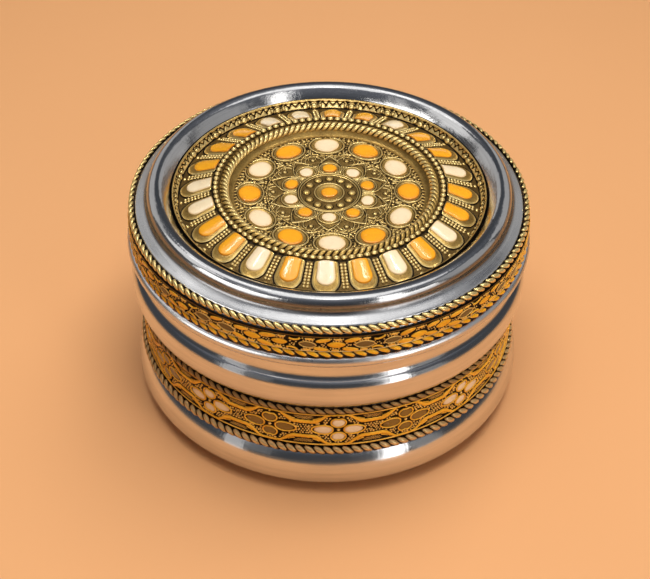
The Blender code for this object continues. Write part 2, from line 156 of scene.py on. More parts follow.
# Strips and their flowers and lozenges
FLOWER_COUNT = 18
FLOWER_TURN = math.radians(3.6)
WAIST_BAND_Z = 32.85
WAIST_BAND_ENDS = (24.2, 41.1)
WAIST_BAND_RADIUS = 75.0
WAIST_PERIOD = TAU * WAIST_BAND_RADIUS / FLOWER_COUNT
LID_BAND_RADIUS = 78.05
LID_BAND_ENDS = (75.9, 83.4)
LOZENGE_COUNT = 48
LOZENGE_PITCH = TAU * LID_BAND_RADIUS / LOZENGE_COUNT
LOZENGE_TURN = math.radians(2.4)
LOZENGE_COLOURS = "ABBAABABBAAB" * 4


# Drawing reliefs: heights in millimetres over a surface, from distances
def rounded(distance, half_width, height):
    """A ridge or dome of round section."""
    return height * np.sqrt(np.clip(1 - (distance / half_width) ** 2, 0, 1))


def ease(value, low, high):
    """A smooth step from 0 at low to 1 at high."""
    share = np.clip((value - low) / (high - low), 0, 1)
    return share * share * (3 - 2 * share)


def ellipse_distance(x, y, middle, half_x, half_y):
    """Close to the distance from an ellipse's line, negative inside. Its middle is on the x axis."""
    return (np.hypot((x - middle) / half_x, y / half_y) - 1) * min(half_x, half_y)


def line_distance(x, y, points):
    """The distance from an open line through these points."""
    best = np.full(x.shape, FAR_AWAY)
    for (ax, ay), (bx, by) in zip(points, points[1:]):
        run, rise = bx - ax, by - ay
        share = np.clip(((x - ax) * run + (y - ay) * rise) / (run * run + rise * rise), 0, 1)
        best = np.minimum(best, np.hypot(x - ax - share * run, y - ay - share * rise))
    return best


def curve_points(control, steps):
    """Points on a cubic Bezier line."""
    share = np.linspace(0, 1, steps + 1)[:, None]
    first, second, third, last = (np.array(point, float) for point in control)
    made = (1 - share) ** 3 * first + 3 * (1 - share) ** 2 * share * second
    made += 3 * (1 - share) * share**2 * third + share**3 * last
    return [tuple(point) for point in made]


def scatter(first, second, seed):
    """A fixed random number from 0 to 1 for each pair of whole numbers."""
    spin = np.sin(first * 127.1 + second * 311.7 + seed) * 43758.5453
    return spin - np.floor(spin)


def granules(x, y, cell, radius, seed):
    """Small domes from 0 to 1, scattered one to a cell."""
    column, row = np.floor(x / cell), np.floor(y / cell)
    best = np.full(x.shape, FAR_AWAY)
    for shift_x in (-1, 0, 1):
        for shift_y in (-1, 0, 1):
            cx, cy = column + shift_x, row + shift_y
            px = (cx + 0.5 + 0.5 * (scatter(cx, cy, seed) - 0.5)) * cell
            py = (cy + 0.5 + 0.5 * (scatter(cy, cx, seed + 7) - 0.5)) * cell
            best = np.minimum(best, np.hypot(x - px, y - py))
    return rounded(best, radius, 1.0)


def folded(theta, count, start):
    """The angle from the nearest of count spokes."""
    pitch = TAU / count
    return theta - start - np.round((theta - start) / pitch) * pitch


def beside_spoke(radius, theta, count, start):
    """How far along the nearest of count spokes a point lies, and how far to either side of it."""
    turn = folded(theta, count, start)
    return radius * np.cos(turn), np.abs(radius * np.sin(turn))


class Relief:
    """Heights in millimetres over a surface, and lift, its tone from black recess to bright crest."""

    def __init__(self, shape, lift):
        self.height = np.zeros(shape)
        self.lift = np.full(shape, float(lift))

    def area(self, mask, height, lift):
        """Fills an area with one pair of values or with arrays of them."""
        self.height = np.where(mask, height, self.height)
        self.lift = np.where(mask, lift, self.lift)

    def ridge(self, distance, half, rise, lift=1.0, seam=0.28, shown=True):
        """A rounded ridge where the distance is 0, with a black seam along it."""
        share = np.abs(distance) / half
        body = rounded(share, 1.0, 1.0)
        self.area(shown & (share >= 1) & (np.abs(distance) < half + seam), -0.05, 0.04)
        self.area(shown & (share < 1), rise * body, lift * (0.4 + 0.6 * body))

    def cut(self, distance, half, depth, shown):
        """An engraved black line."""
        inside = shown & (np.abs(distance) < half)
        self.height = np.where(inside, self.height - rounded(distance, half, depth), self.height)
        self.lift = np.where(inside, self.lift * ease(np.abs(distance), half * 0.4, half), self.lift)

    def result(self):
        """What turned asks of a relief: heights and named values."""
        return self.height, {"lift": self.lift}


# Mesh building
def add_values(mesh, values):
    """Named numbers, one for each point of a mesh."""
    for key, numbers in values.items():
        attribute = mesh.attributes.new(key, "FLOAT", "POINT")
        attribute.data.foreach_set("value", np.asarray(numbers, np.float32).ravel())


def mesh_object(name, points, faces, values):
    """A smooth mesh from points in millimetres. values holds named numbers, one for each point."""
    mesh = bpy.data.meshes.new(name)
    mesh.from_pydata((np.asarray(points) * MM).tolist(), [], faces, shade_flat=False)
    add_values(mesh, values)
    mesh.validate()
    obj = bpy.data.objects.new(name, mesh)
    bpy.context.scene.collection.objects.link(obj)
    return obj


def grid_faces(rows, columns):
    """Quads over a grid of points whose rows and columns close on themselves."""
    row, column = np.arange(rows)[:, None], np.arange(columns)[None, :]
    next_row, next_column = (row + 1) % rows, (column + 1) % columns
    corners = ((row, column), (row, next_column), (next_row, next_column), (next_row, column))
    return np.stack([r * columns + c for r, c in corners], -1).reshape(-1, 4).tolist()


def unit(vectors):
    """Each row at length 1."""
    return vectors / np.maximum(np.linalg.norm(vectors, axis=1)[:, None], 1e-9)


def section_normals(section):
    """Unit normals out of a closed section that runs down its outer side."""
    along = unit(unit(np.roll(section, -1, 0) - section) + unit(section - np.roll(section, 1, 0)))
    return np.stack([-along[:, 1], along[:, 0]], 1)


def turned(name, section, columns, relief=None, active=0):
    """A section of (radius, height) points turned about Z, closed on itself or ending on the axis.

    relief(section points, angles) gives the heights and named values for the first active points.
    """
    section = np.asarray(section, float)
    on_axis = section[0, 0] == 0 and section[-1, 0] == 0
    theta = around(columns)
    radius = np.repeat(section[:, :1], columns, 1)
    height = np.repeat(section[:, 1:], columns, 1)
    values = {}
    if relief:
        lifts, named = relief(section[:active], theta)
        normals = section_normals(section)[:active]
        radius[:active] += lifts * normals[:, :1]
        height[:active] += lifts * normals[:, 1:]
        for key, numbers in named.items():
            values[key] = np.zeros(radius.shape)
            values[key][:active] = numbers
    points = np.stack([radius * np.cos(theta), radius * np.sin(theta), height], -1).reshape(-1, 3)
    faces = grid_faces(len(section), columns)
    if on_axis:
        faces = tube_faces(len(section) - 2, columns)
        keep = np.r_[0, np.arange(columns, len(points) - columns), len(points) - columns]
        points = points[keep]
        values = {key: numbers.ravel()[keep] for key, numbers in values.items()}
    return mesh_object(name, points, [face[::-1] for face in faces], values)


def arc(centre, radii, start_deg, end_deg, steps):
    """Points of an elliptical arc, both ends included."""
    turn = np.radians(np.linspace(start_deg, end_deg, steps + 1))
    return list(zip(centre[0] + radii[0] * np.cos(turn), centre[1] + radii[1] * np.sin(turn)))


def offset_line(points, distance):
    """A line moved square to itself, towards the inside of a profile that runs down its outer side."""
    points = np.asarray(points, float)
    along = unit(np.diff(points, axis=0))
    sides = np.stack([along[:, 1], -along[:, 0]], 1)
    across = np.vstack([sides[:1], (sides[:-1] + sides[1:]) / 2, sides[-1:]])
    moved = points + across * distance / (across**2).sum(1)[:, None]
    moved[:, 0] = np.maximum(moved[:, 0], 0)
    return [tuple(point) for point in moved]


def straight(first, last, step):
    """Evenly spaced points from first to last, both included."""
    length = math.hypot(last[0] - first[0], last[1] - first[1])
    return between(first, last, max(1, round(length / step)))


def between(first, last, steps):
    """Points at even steps from first to last, both included."""
    share = np.linspace(0, 1, steps + 1)
    return [(first[0] + s * (last[0] - first[0]), first[1] + s * (last[1] - first[1])) for s in share]


def repeated(faces, size, copies, start=0):
    """The faces of copies of a body of size points that lie one after another."""
    return [[corner + start + number * size for corner in face] for number in range(copies) for face in faces]


def joined(name, body, copies):
    """One object from copies of a small body, each moved by a 4 by 4 matrix in millimetres."""
    points, faces, values = body
    points = np.c_[np.asarray(points, float), np.ones(len(points))]
    moved = np.vstack([(points @ np.array(matrix, float).T)[:, :3] for matrix in copies])
    spread = {key: np.tile(numbers, len(copies)) for key, numbers in values.items()}
    return mesh_object(name, moved, repeated(faces, len(points), len(copies)), spread)


def tube_faces(rows, count):
    """Faces of a closed body whose points are one end, rows of count points each and the other end."""
    last = rows * count + 1
    faces = [[0, 1 + (c + 1) % count, 1 + c] for c in range(count)]
    for row in range(rows - 1):
        start = 1 + row * count
        for c in range(count):
            after = (c + 1) % count
            faces.append([start + c, start + after, start + count + after, start + count + c])
    return faces + [[last, last - count + c, last - count + (c + 1) % count] for c in range(count)]


def ball(rings, columns):
    """A unit ball's points and faces."""
    points = [(0.0, 0.0, 1.0)]
    for lean in np.linspace(0, math.pi, rings + 1)[1:-1]:
        for turn in around(columns):
            points.append((math.sin(lean) * math.cos(turn), math.sin(lean) * math.sin(turn), math.cos(lean)))
    points.append((0.0, 0.0, -1.0))
    return points, [[face[0], *face[:0:-1]] for face in tube_faces(rings - 1, columns)]


def outward(points, faces):
    """The same faces, turned round if they point into the body."""
    volume = 0.0
    for face in faces:
        first = points[face[0]]
        for second, third in zip(face[1:], face[2:]):
            volume += np.dot(first, np.cross(points[second], points[third]))
    return faces if volume > 0 else [face[::-1] for face in faces]


def loft(loops):
    """Points and faces of a closed body through loops of equal length, its ends drawn to a point."""
    loops = [np.asarray(loop, float) for loop in loops]
    points = np.vstack([loops[0].mean(0), *loops, loops[-1].mean(0)])
    return points, outward(points, tube_faces(len(loops), len(loops[0])))


# Small closed bodies in flat coordinates: x, y and the height over the ground
def domed(outline, steps):
    """A closed body over an outline. Each step inwards is a share of the outline and a height."""
    outline = np.asarray(outline, float)
    middle = outline.mean(0)
    moved = [(middle + (outline - middle) * share, height) for share, height in steps]
    return loft([np.c_[loop, np.full(len(loop), height)] for loop, height in moved])


def pad(outline, depth, crown):
    """A low domed pad of enamel, with how near to its edge each point lies."""
    shares = (1.0, 1.0, 0.97, 0.9, 0.78, 0.6, 0.35)
    heights = (-depth, -0.12, 0.0, crown * 0.3, crown * 0.65, crown * 0.88, crown)
    points, faces = domed(outline, zip(shares, heights))
    return points, faces, {"edge": np.r_[1.0, np.repeat(shares, len(outline)), 0.0]}


def toned(lifts, amber, brown=0.0):
    """Named values for a raised body, tinted only where it stands proud."""
    top = np.clip(lifts * 2 - 0.3, 0, 1)
    return {"lift": lifts, "amber": amber * top, "brown": brown * top}


# Each step inwards: share of the outline, share of the rise or depth under the ground, tone
CUSHION_STEPS = (
    (1.0, -0.2, 0.0),
    (1.0, 0.0, 0.15),
    (0.93, 0.5, 0.6),
    (0.8, 0.8, 0.9),
    (0.6, 0.94, 1.0),
    (0.3, 1.0, 1.0),
)


def cushion(outline, rise, amber, brown=0.0, lift=0.95):
    """A round-edged raised shape of metal."""
    shares, heights, tones = np.array(CUSHION_STEPS).T
    points, faces = domed(outline, zip(shares, np.where(heights > 0, heights * rise, heights)))
    return points, faces, toned(np.r_[0.0, np.repeat(tones * lift, len(outline)), lift], amber, brown)


# Across a ribbon: share of the half width, share of the rise or depth under the ground, tone
RIBBON_PROFILE = (
    (-1.0, -0.2, 0.0),
    (-1.0, 0.0, 0.15),
    (-0.82, 0.68, 0.8),
    (-0.4, 1.0, 1.0),
    (0.4, 1.0, 1.0),
    (0.82, 0.68, 0.8),
    (1.0, 0.0, 0.15),
    (1.0, -0.2, 0.0),
)


def ribbon_loops(line, ahead, half, rise):
    """A rounded strip's points at each step of a line, and their tones. ahead is the line's direction."""
    profile = np.array(RIBBON_PROFILE)
    side = unit(np.stack([-ahead[:, 1], ahead[:, 0]], 1))
    half = np.broadcast_to(half, len(line))
    across = line[:, None, :] + side[:, None, :] * half[:, None, None] * profile[None, :, :1]
    heights = np.where(profile[:, 1] > 0, profile[:, 1] * rise, profile[:, 1])
    loops = np.concatenate([across, np.broadcast_to(heights[None, :, None], across.shape[:2] + (1,))], 2)
    return loops, np.tile(profile[:, 2], len(line))


def ribbon(line, half, rise, closed, amber):
    """A low rounded strip along a line. half is half its width, one number or one for each point."""
    line = np.asarray(line, float)
    ahead = np.roll(line, -1, 0) - np.roll(line, 1, 0) if closed else np.gradient(line, axis=0)
    loops, lifts = ribbon_loops(line, ahead, half, rise)
    if closed:
        points = loops.reshape(-1, 3)
        faces = outward(points, grid_faces(len(line), len(RIBBON_PROFILE)))
        return points, faces, toned(lifts, amber)
    return *loft(loops), toned(np.r_[0.0, lifts, 0.0], amber)


def grain(radius, rise, sides, amber):
    """One round granule."""
    turn = around(sides)
    steps = ((1.0, -0.15), (1.0, 0.1 * rise), (0.75, 0.72 * rise), (0.3, rise))
    points, faces = domed(np.c_[np.cos(turn), np.sin(turn)] * radius, steps)
    lifts = np.clip(points[:, 2] / points[:, 2].max(), 0, 1) ** 0.5
    return points, faces, {"lift": lifts, "amber": amber * lifts, "brown": 0 * lifts}


class Sheet:
    """Many small bodies in flat coordinates, laid on a surface as one mesh."""

    def __init__(self):
        self.points, self.faces, self.values, self.count = [], [], {}, 0

    def add(self, body, shifts=((0.0, 0.0),), mirror=(1, 1), turns=0.0, sizes=1.0):
        """Adds a copy of a body for each shift, each turned in radians and sized."""
        points, faces, values = body
        shifts = np.asarray(shifts, float)
        turns = np.broadcast_to(turns, len(shifts))[:, None]
        sizes = np.broadcast_to(sizes, len(shifts))[:, None]
        x, y = points[:, 0] * mirror[0] * sizes, points[:, 1] * mirror[1] * sizes
        made = np.stack([
            x * np.cos(turns) - y * np.sin(turns) + shifts[:, :1],
            x * np.sin(turns) + y * np.cos(turns) + shifts[:, 1:],
            np.broadcast_to(points[:, 2], x.shape),
        ], -1)
        if mirror[0] * mirror[1] < 0:
            faces = [face[::-1] for face in faces]
        self.faces += repeated(faces, len(points), len(shifts), self.count)
        self.count += len(shifts) * len(points)
        self.points.append(made.reshape(-1, 3))
        for key, numbers in values.items():
            self.values.setdefault(key, []).append(np.tile(numbers, len(shifts)))

    def laid(self, name, surface):
        """One object of all bodies, their points moved onto a surface."""
        values = {key: np.concatenate(numbers) for key, numbers in self.values.items()}
        return mesh_object(name, surface(np.vstack(self.points)), self.faces, values)


def on_band(radius, middle):
    """Flat coordinates wrapped round a band: x along it from the front, y up."""

    def surface(points):
        turn = FRONT + points[:, 0] / radius
        reach = radius + points[:, 2]
        return np.c_[reach * np.cos(turn), reach * np.sin(turn), middle + points[:, 1]]

    return surface


def placed(theta, radius, height, tilt=0.0):
    """A matrix that puts a piece at an angle and radius, its x pointing out."""
    made = Matrix.Rotation(theta, 4, "Z") @ Matrix.Translation((radius, 0, height))
    return made @ Matrix.Rotation(tilt, 4, "Y")


# Materials
DARK = (0.012, 0.008, 0.004)
BRONZE = (0.20, 0.115, 0.030)
BRASS = (0.62, 0.39, 0.105)
GOLD = (1.0, 0.74, 0.30)
AMBER_DEEP, AMBER_PALE = (0.80, 0.35, 0.011), (0.95, 0.48, 0.024)
BROWN = (0.18, 0.105, 0.03)
STEEL, STEEL_DULL = (0.76, 0.745, 0.73), (0.60, 0.585, 0.57)
# The colour of a dark reflection painted on the lid ring's foot
PAINTED_DARK_REFLECTION = (0.16, 0.15, 0.15)
# Radii in metres: where the lid turns satin, and where the painted dark reflection at its ring's foot begins
# and ends
SATIN_BEGINS = (0.0702, 0.0711)
DARK_REFLECTION_BEGINS, DARK_REFLECTION_ENDS = (0.0701, 0.0707), (0.0712, 0.0724)


class Shader:
    """A Principled material, or a world, and short calls for the nodes that feed it."""

    def __init__(self, name, kind="materials", surface="Principled BSDF"):
        self.owner = getattr(bpy.data, kind).new(name)
        self.owner.use_nodes = True
        self.tree = self.owner.node_tree
        self.surface = self.tree.nodes[surface]

    def node(self, kind, inputs=None, **settings):
        made = self.tree.nodes.new(kind)
        for key, value in settings.items():
            setattr(made, key, value)
        for key, value in (inputs or {}).items():
            self.feed(made.inputs[key], value)
        return made

    def feed(self, socket, value):
        if isinstance(value, bpy.types.NodeSocket):
            self.tree.links.new(value, socket)
        else:
            socket.default_value = value

    def math(self, operation, *values, clamp=False):
        made = self.node("ShaderNodeMath", dict(enumerate(values)), operation=operation, use_clamp=clamp)
        return made.outputs[0]

    def add(self, first, second, clamp=False):
        return self.math("ADD", first, second, clamp=clamp)

    def times(self, first, second):
        return self.math("MULTIPLY", first, second)

    def reach(self, axes):
        """The distance from the Z axis."""
        return self.math("SQRT", self.add(*(self.math("POWER", axes[number], 2.0) for number in (0, 1))))

    def attribute(self, name):
        return self.node("ShaderNodeAttribute", attribute_name=name).outputs["Fac"]

    def place(self):
        return self.node("ShaderNodeTexCoord").outputs["Object"]

    def noise(self, vector, scale, detail, roughness):
        inputs = {"Vector": vector, "Scale": scale, "Detail": detail, "Roughness": roughness}
        return self.node("ShaderNodeTexNoise", inputs).outputs["Fac"]

    def span(self, value, low, high, out_low, out_high):
        inputs = dict(enumerate((value, low, high, out_low, out_high)))
        return self.node("ShaderNodeMapRange", inputs).outputs[0]

    def mix(self, share, first, second):
        made = self.node("ShaderNodeMix", data_type="RGBA")
        self.feed(made.inputs["Factor"], share)
        self.feed(made.inputs[6], first if isinstance(first, bpy.types.NodeSocket) else (*first, 1))
        self.feed(made.inputs[7], second if isinstance(second, bpy.types.NodeSocket) else (*second, 1))
        return made.outputs[2]

    def ramp(self, value, stops):
        made = self.node("ShaderNodeValToRGB", {0: value})
        elements = made.color_ramp.elements
        while len(elements) < len(stops):
            elements.new(0.5)
        for element, (position, colour) in zip(elements, stops):
            element.position = position
            element.color = (*colour, 1)
        return made.outputs[0]

    def bump(self, value, distance, strength):
        inputs = {"Height": value, "Distance": distance, "Strength": strength}
        self.feed(self.surface.inputs["Normal"], self.node("ShaderNodeBump", inputs).outputs[0])

    def set(self, **inputs):
        for key, value in inputs.items():
            socket = self.surface.inputs[key.replace("_", " ").title().replace("Ior", "IOR")]
            if isinstance(value, tuple):
                value = (*value, 1)
            self.feed(socket, value)
        return self.owner

    def round_grain(self, along, across):
        """A vector that changes slowly round the axis and fast across it."""
        axes = self.node("ShaderNodeSeparateXYZ", {0: self.place()}).outputs
        radius = self.reach(axes)
        cosine, sine = (self.times(self.math("DIVIDE", axes[number], radius), along) for number in (0, 1))
        step = self.times(self.add(axes[2], radius), across)
        return self.node("ShaderNodeCombineXYZ", {0: cosine, 1: sine, 2: step}).outputs[0]


def steel_material(name, roughness, grain, smudge, wave, satin=0.0):
    """Steel turned on a lathe: fine rings of grain, soft smudges and slow waves in the sheet.

    satin is how much rougher the lid is outside its ring. There a dark reflection is painted on the ring's
    foot."""
    shader = Shader(name)
    rings = shader.noise(shader.round_grain(5.0, 5200.0), 1.0, 4.0, 0.6)
    broad_rings = shader.noise(shader.round_grain(2.5, 900.0), 1.0, 3.0, 0.6)
    cloud = shader.noise(shader.place(), 42.0, 4.0, 0.55)
    slow = shader.noise(shader.round_grain(9.0, 130.0), 1.0, 3.0, 0.55)
    rough = shader.add(
        shader.span(rings, 0.3, 0.7, -grain, grain),
        shader.span(cloud, 0.35, 0.7, -smudge, smudge),
    )
    rough = shader.add(rough, roughness, clamp=True)
    if satin:
        reach = shader.reach(shader.node("ShaderNodeSeparateXYZ", {0: shader.place()}).outputs)
        rough = shader.add(rough, shader.span(reach, *SATIN_BEGINS, 0.0, satin))
        # Painted dark reflection: a band on the ring's foot is darkened
        begins = shader.span(reach, *DARK_REFLECTION_BEGINS, 0.0, 0.8)
        dark_reflection = shader.times(begins, shader.span(reach, *DARK_REFLECTION_ENDS, 1.0, 0.0))
    shade = shader.add(
        shader.span(cloud, 0.3, 0.75, 0.0, 0.5),
        shader.span(broad_rings, 0.35, 0.7, 0.0, 0.5),
    )
    colour = shader.mix(shade, STEEL, STEEL_DULL)
    if satin:
        # The painted dark reflection is mixed into the steel's colour here
        colour = shader.mix(dark_reflection, colour, PAINTED_DARK_REFLECTION)
    height = shader.add(shader.times(rings, 0.00002), shader.times(slow, wave))
    shader.bump(height, 1.0, 0.8)
    return shader.set(base_color=colour, metallic=1.0, roughness=rough)


def brass_material(name, low, mid, light, enamelled=False, metal=0.66):
    """Antiqued brass: black in the recesses, rubbed bright on what stands proud."""
    shader = Shader(name)
    place = shader.place()
    fine = shader.noise(place, 1500.0, 3.0, 0.6)
    broad = shader.noise(place, 160.0, 3.0, 0.5)
    lift = shader.attribute("lift")
    uneven = shader.add(shader.span(fine, 0.3, 0.7, -0.14, 0.14), shader.span(broad, 0.3, 0.7, -0.12, 0.12))
    lift = shader.add(lift, shader.times(uneven, lift), clamp=True)
    colour = shader.ramp(lift, ((0.10, DARK), (0.34, low), (0.62, mid), (0.95, light)))
    rough = shader.span(lift, 0.2, 0.9, 0.46, 0.2)
    metallic = metal
    if enamelled:
        amber = shader.attribute("amber")
        brown = shader.attribute("brown")
        tone = shader.mix(shader.span(broad, 0.35, 0.65, 0.0, 1.0), AMBER_DEEP, AMBER_PALE)
        colour = shader.mix(brown, shader.mix(amber, colour, tone), BROWN)
        cover = shader.math("MAXIMUM", amber, brown)
        metallic = shader.span(cover, 0.0, 1.0, metal, 0.1)
    shader.bump(fine, 0.00005, 0.3)
    return shader.set(base_color=colour, metallic=metallic, roughness=rough, specular_ior_level=0.25)


def enamel_material(name, body, edge):
    """Glossy fired enamel, a little deeper in colour at its edge."""
    shader = Shader(name)
    place = shader.place()
    cloud = shader.noise(place, 260.0, 3.0, 0.5)
    pits = shader.noise(place, 2200.0, 2.0, 0.5)
    rim = shader.math("POWER", shader.attribute("edge"), 7.0)
    share = shader.add(rim, shader.span(cloud, 0.45, 0.8, 0.0, 0.35), clamp=True)
    colour = shader.mix(share, body, edge)
    shader.bump(shader.add(cloud, shader.times(pits, 0.12)), 0.0004, 0.35)
    rough = shader.span(cloud, 0.3, 0.7, 0.16, 0.3)
    return shader.set(base_color=colour, roughness=rough, coat_weight=0.5, coat_roughness=0.05)


def finish_piece(obj, body, slot, material, *nodes):
    """Gives a piece its finish, its body and the CAD nodes that it stands for."""
    obj.data.materials.append(material)
    if nodes:
        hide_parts(*nodes)
    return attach(obj, body)


# Steel shells
def body_section():
    """The box's inside from the middle up to the rim, then its outside down to the middle."""
    shoulder_core = (SHOULDER_RADIUS - SHOULDER_ROUND, SHOULDER_TOP_Z)
    under_core = (SHOULDER_RADIUS - SHOULDER_DEPTH, SHOULDER_Z)
    belly_core = (BELLY_RADIUS - BELLY_DEPTH, BELLY_Z)
    outer = [(NECK_RADIUS - 0.2, RIM_Z), (NECK_RADIUS, RIM_Z - 0.3)]
    outer += straight((NECK_RADIUS, RIM_Z - 1.0), (NECK_RADIUS, NECK_FOOT_Z + 0.8), 4.0)
    outer += [(NECK_RADIUS + 0.1, NECK_FOOT_Z + 0.3), (NECK_RADIUS + 0.35, NECK_FOOT_Z - 0.4)]
    outer += arc(shoulder_core, (SHOULDER_ROUND, SHOULDER_ROUND), 66.0, 0.0, 14)
    outer += arc(under_core, (SHOULDER_DEPTH, SHOULDER_DROP), 0.0, -81.0, 22)
    outer += arc(belly_core, (BELLY_DEPTH, FLARE_HEIGHT), 75.0, 0.0, 22)
    belly = arc(belly_core, (BELLY_DEPTH, BELLY_DEPTH), 0.0, -FOOT_DEG, 10)
    foot_round = belly[-1][1] / (1 - math.sin(math.radians(FOOT_DEG)))
    foot_core = (belly[-1][0] - foot_round * math.cos(math.radians(FOOT_DEG)), foot_round)
    outer += belly[1:] + arc(foot_core, (foot_round, foot_round), -FOOT_DEG, -90.0, 14)[1:]
    outer += [(FOOT_RADIUS, 0.0), (57.6, 0.5), (56.5, BOTTOM_Z), (30.0, BOTTOM_Z), (0.0, BOTTOM_Z)]
    return offset_line(outer, SHEET)[::-1] + outer


def lid_section():
    """The lid's outside from the middle of its panel out and down to the lip, then its inside back."""
    wall_inner = PLATE_RADIUS + 0.4
    top = [(0.0, PANEL_Z), (30.0, PANEL_Z), (wall_inner - 0.3, PANEL_Z), (wall_inner, PANEL_Z + 0.3)]
    top += straight((wall_inner, 86.5), (wall_inner, 89.2), 1.0) + [(wall_inner + 0.15, 89.5)]
    top += arc(RING_CENTRE, (RING_ROUND, RING_ROUND), 132.6, 4.0, 44)
    top += [(70.98, 89.3), (71.08, 88.75), (71.3, 88.3), (71.65, 87.93), (72.1, 87.62), (72.7, 87.3)]
    top += straight((73.3, 87.02), (75.0, 86.28), 0.8)
    top += [(75.3, 86.1), (75.5, 85.8), (76.75, 83.7)]
    top += [(LID_WALL_RADIUS, 83.2), (LID_WALL_RADIUS, LIP_TOP_Z + 0.2)]
    under = offset_line(top, SHEET)
    half = (LIP_TOP_Z - LIP_BOTTOM_Z) / 2
    lip = arc((LIP_RADIUS - half, LIP_BOTTOM_Z + half), (half, half), 92.0, -90.0, 24)
    wall_inside = LID_WALL_RADIUS - SHEET
    foot = [(wall_inside + 0.2, LIP_BOTTOM_Z + 0.05), (wall_inside, LIP_BOTTOM_Z + 0.3)]
    return top + lip + foot + under[::-1]


# Pressed plate
def plate_ground(radius):
    """The plate's ground height from the crown out to its edge."""
    line = [(CROWN_RADII[0], CROWN_Z), (CROWN_RADII[1], CROWN_Z), *VALLEY, (PLATE_RADIUS, PLATE_EDGE_Z)]
    return np.interp(radius, [point[0] for point in line], [point[1] for point in line])


def tongue_gap(x, y):
    """How far a point lies outside a tongue's edge, negative inside it. x runs along it from the axis."""
    near, far, half_near, half_far = TONGUE
    core = far - half_far
    half = half_near + (half_far - half_near) * np.clip((x - near) / (core - near), 0, 1)
    return np.where(x < core, np.abs(y) - half, np.hypot(x - core, y) - half_far)


def tongue_height(x, y):
    """A tongue's pillow over the ground."""
    share = np.clip(-tongue_gap(x, y) / TONGUE_PILLOW, 0, 1)
    rise = np.interp(x, TONGUE[:2], TONGUE_RISES)
    return rise * np.sqrt(1 - (1 - share) ** 2)


def petal_outline(near, far, half_near, half_far):
    """A petal in its place along x from the axis: a square inner end, and a round outer end."""
    core = far - half_far
    tip = arc((core, 0.0), (half_far, half_far), -90.0, 90.0, 20)
    side = between((core, half_far), (near + 0.4, half_near), 8)[1:]
    inner = between((near, half_near - 0.4), (near, 0.4 - half_near), 6)
    other = [(x, -y) for x, y in side[::-1]]
    return np.array(tip + side + inner + other)


def inset_petal(form, inset, near_inset):
    """A form's outline moved inwards, its inner end by a distance of its own."""
    near, far, half_near, half_far = form
    return petal_outline(near + near_inset, far - inset, half_near - inset, half_far - inset)


def over_ground(outline, rise):
    """Points of an outline at the plate's ground plus a rise."""
    ground = plate_ground(np.hypot(outline[:, 0], outline[:, 1]))
    return np.c_[outline, ground + rise]


# Each step inwards on a tongue: distance, tone
TONGUE_STEPS = (
    (0.0, 0.2),
    (0.05, 0.85),
    (0.15, 1.0),
    (0.32, 0.85),
    (0.6, 0.6),
    (1.0, 0.48),
    (1.6, 0.45),
    (2.4, 0.45),
    (3.2, 0.45),
)
# Each step inwards on a petal: distance, height over the tongue
PETAL_STEPS = ((0.0, -0.15), (0.0, 0.0), (0.06, 0.09), (0.18, 0.15), (0.45, 0.18), (1.0, 0.19), (1.8, 0.2))


def tongue_mesh():
    """A brass tongue under a petal, its foot in the ground."""
    foot = inset_petal(TONGUE, 0.0, 0.0)
    loops, lift = [over_ground(foot, -0.3)], [0.05]
    for inset, tone in TONGUE_STEPS:
        outline = inset_petal(TONGUE, inset, inset * 0.12)
        loops.append(over_ground(outline, tongue_height(outline[:, 0], outline[:, 1])))
        lift.append(tone)
    points, faces = loft(loops)
    return points, faces, {"lift": np.r_[0.3, np.repeat(lift, len(foot)), 0.45]}


def petal_mesh():
    """The enamel on a tongue, a little proud of it."""
    loops, edges = [], []
    for inset, proud in PETAL_STEPS:
        outline = inset_petal(PETAL, inset, inset)
        crown = 0.4 * (1 - (outline[:, 1] / PETAL[3]) ** 2) * (proud > 0)
        loops.append(over_ground(outline, tongue_height(outline[:, 0], outline[:, 1]) + proud + crown))
        edges += [max(0.0, 1 - inset / 2.2)] * len(outline)
    points, faces = loft(loops)
    return points, faces, {"edge": np.r_[1.0, edges, 0.0]}


# The border's engraved lines: both ends, each as (distance from midway between two tongues, radius)
BORDER_STROKES = (
    ((0.05, BORDER_RADIUS), (2.3, 60.5)),
    ((1.1, 60.3), (2.3, 60.5)),
    ((1.7, 58.75), (3.5, 60.4)),
    ((3.5, 60.4), (5.2, 59.4)),
    ((4.6, 59.2), (6.2, 60.4)),
    ((6.2, 60.4), (7.8, 59.5)),
)


def petal_ground_relief(section, theta):
    """The ground between the tongues, and the carved border that rises round them."""
    radius = section[:, :1] + 0 * theta
    relief = Relief(radius.shape, 1.0)
    turn = folded(theta, PETAL_COUNT, FRONT + PETAL_TURN)
    gap = tongue_gap(radius * np.cos(turn), radius * np.sin(turn))
    across = radius * (math.pi / PETAL_COUNT - np.abs(turn))
    relief.area(radius <= BORDER_RADIUS, 0.0, 0.26)
    relief.area((gap < 0.55) & (radius > TONGUE[0] - 0.3), -0.12, 0.02)
    relief.area((radius < TONGUE[0]) & (radius > CROWN_RADII[1] - 0.3), 0.0, 0.12)
    relief.ridge(radius - 60.75, 0.3, 0.25, 0.85, seam=0.15)
    for stroke in BORDER_STROKES:
        relief.cut(line_distance(across, radius, stroke), 0.33, 0.2, gap > 0.4)
    relief.cut(radius - 58.75, 0.22, 0.1, gap > 0.4)
    for middle, size in (((0.0, 59.35), (1.15, 0.62)), ((2.55, 59.45), (0.55, 0.45))):
        bud = np.hypot((across - middle[0]) / size[0], (radius - middle[1]) / size[1])
        relief.area((gap > 0.4) & (bud > 1) & (bud < 1.35), -0.05, 0.05)
        relief.area((gap > 0.3) & (bud < 1), rounded(bud, 1, 0.55), 0.95)
    tail = np.hypot(across / 0.75, (radius - 57.6) / 0.5)
    relief.area((gap > 0.3) & (tail < 1), rounded(tail, 1, 0.4), 0.9)
    return relief.result()


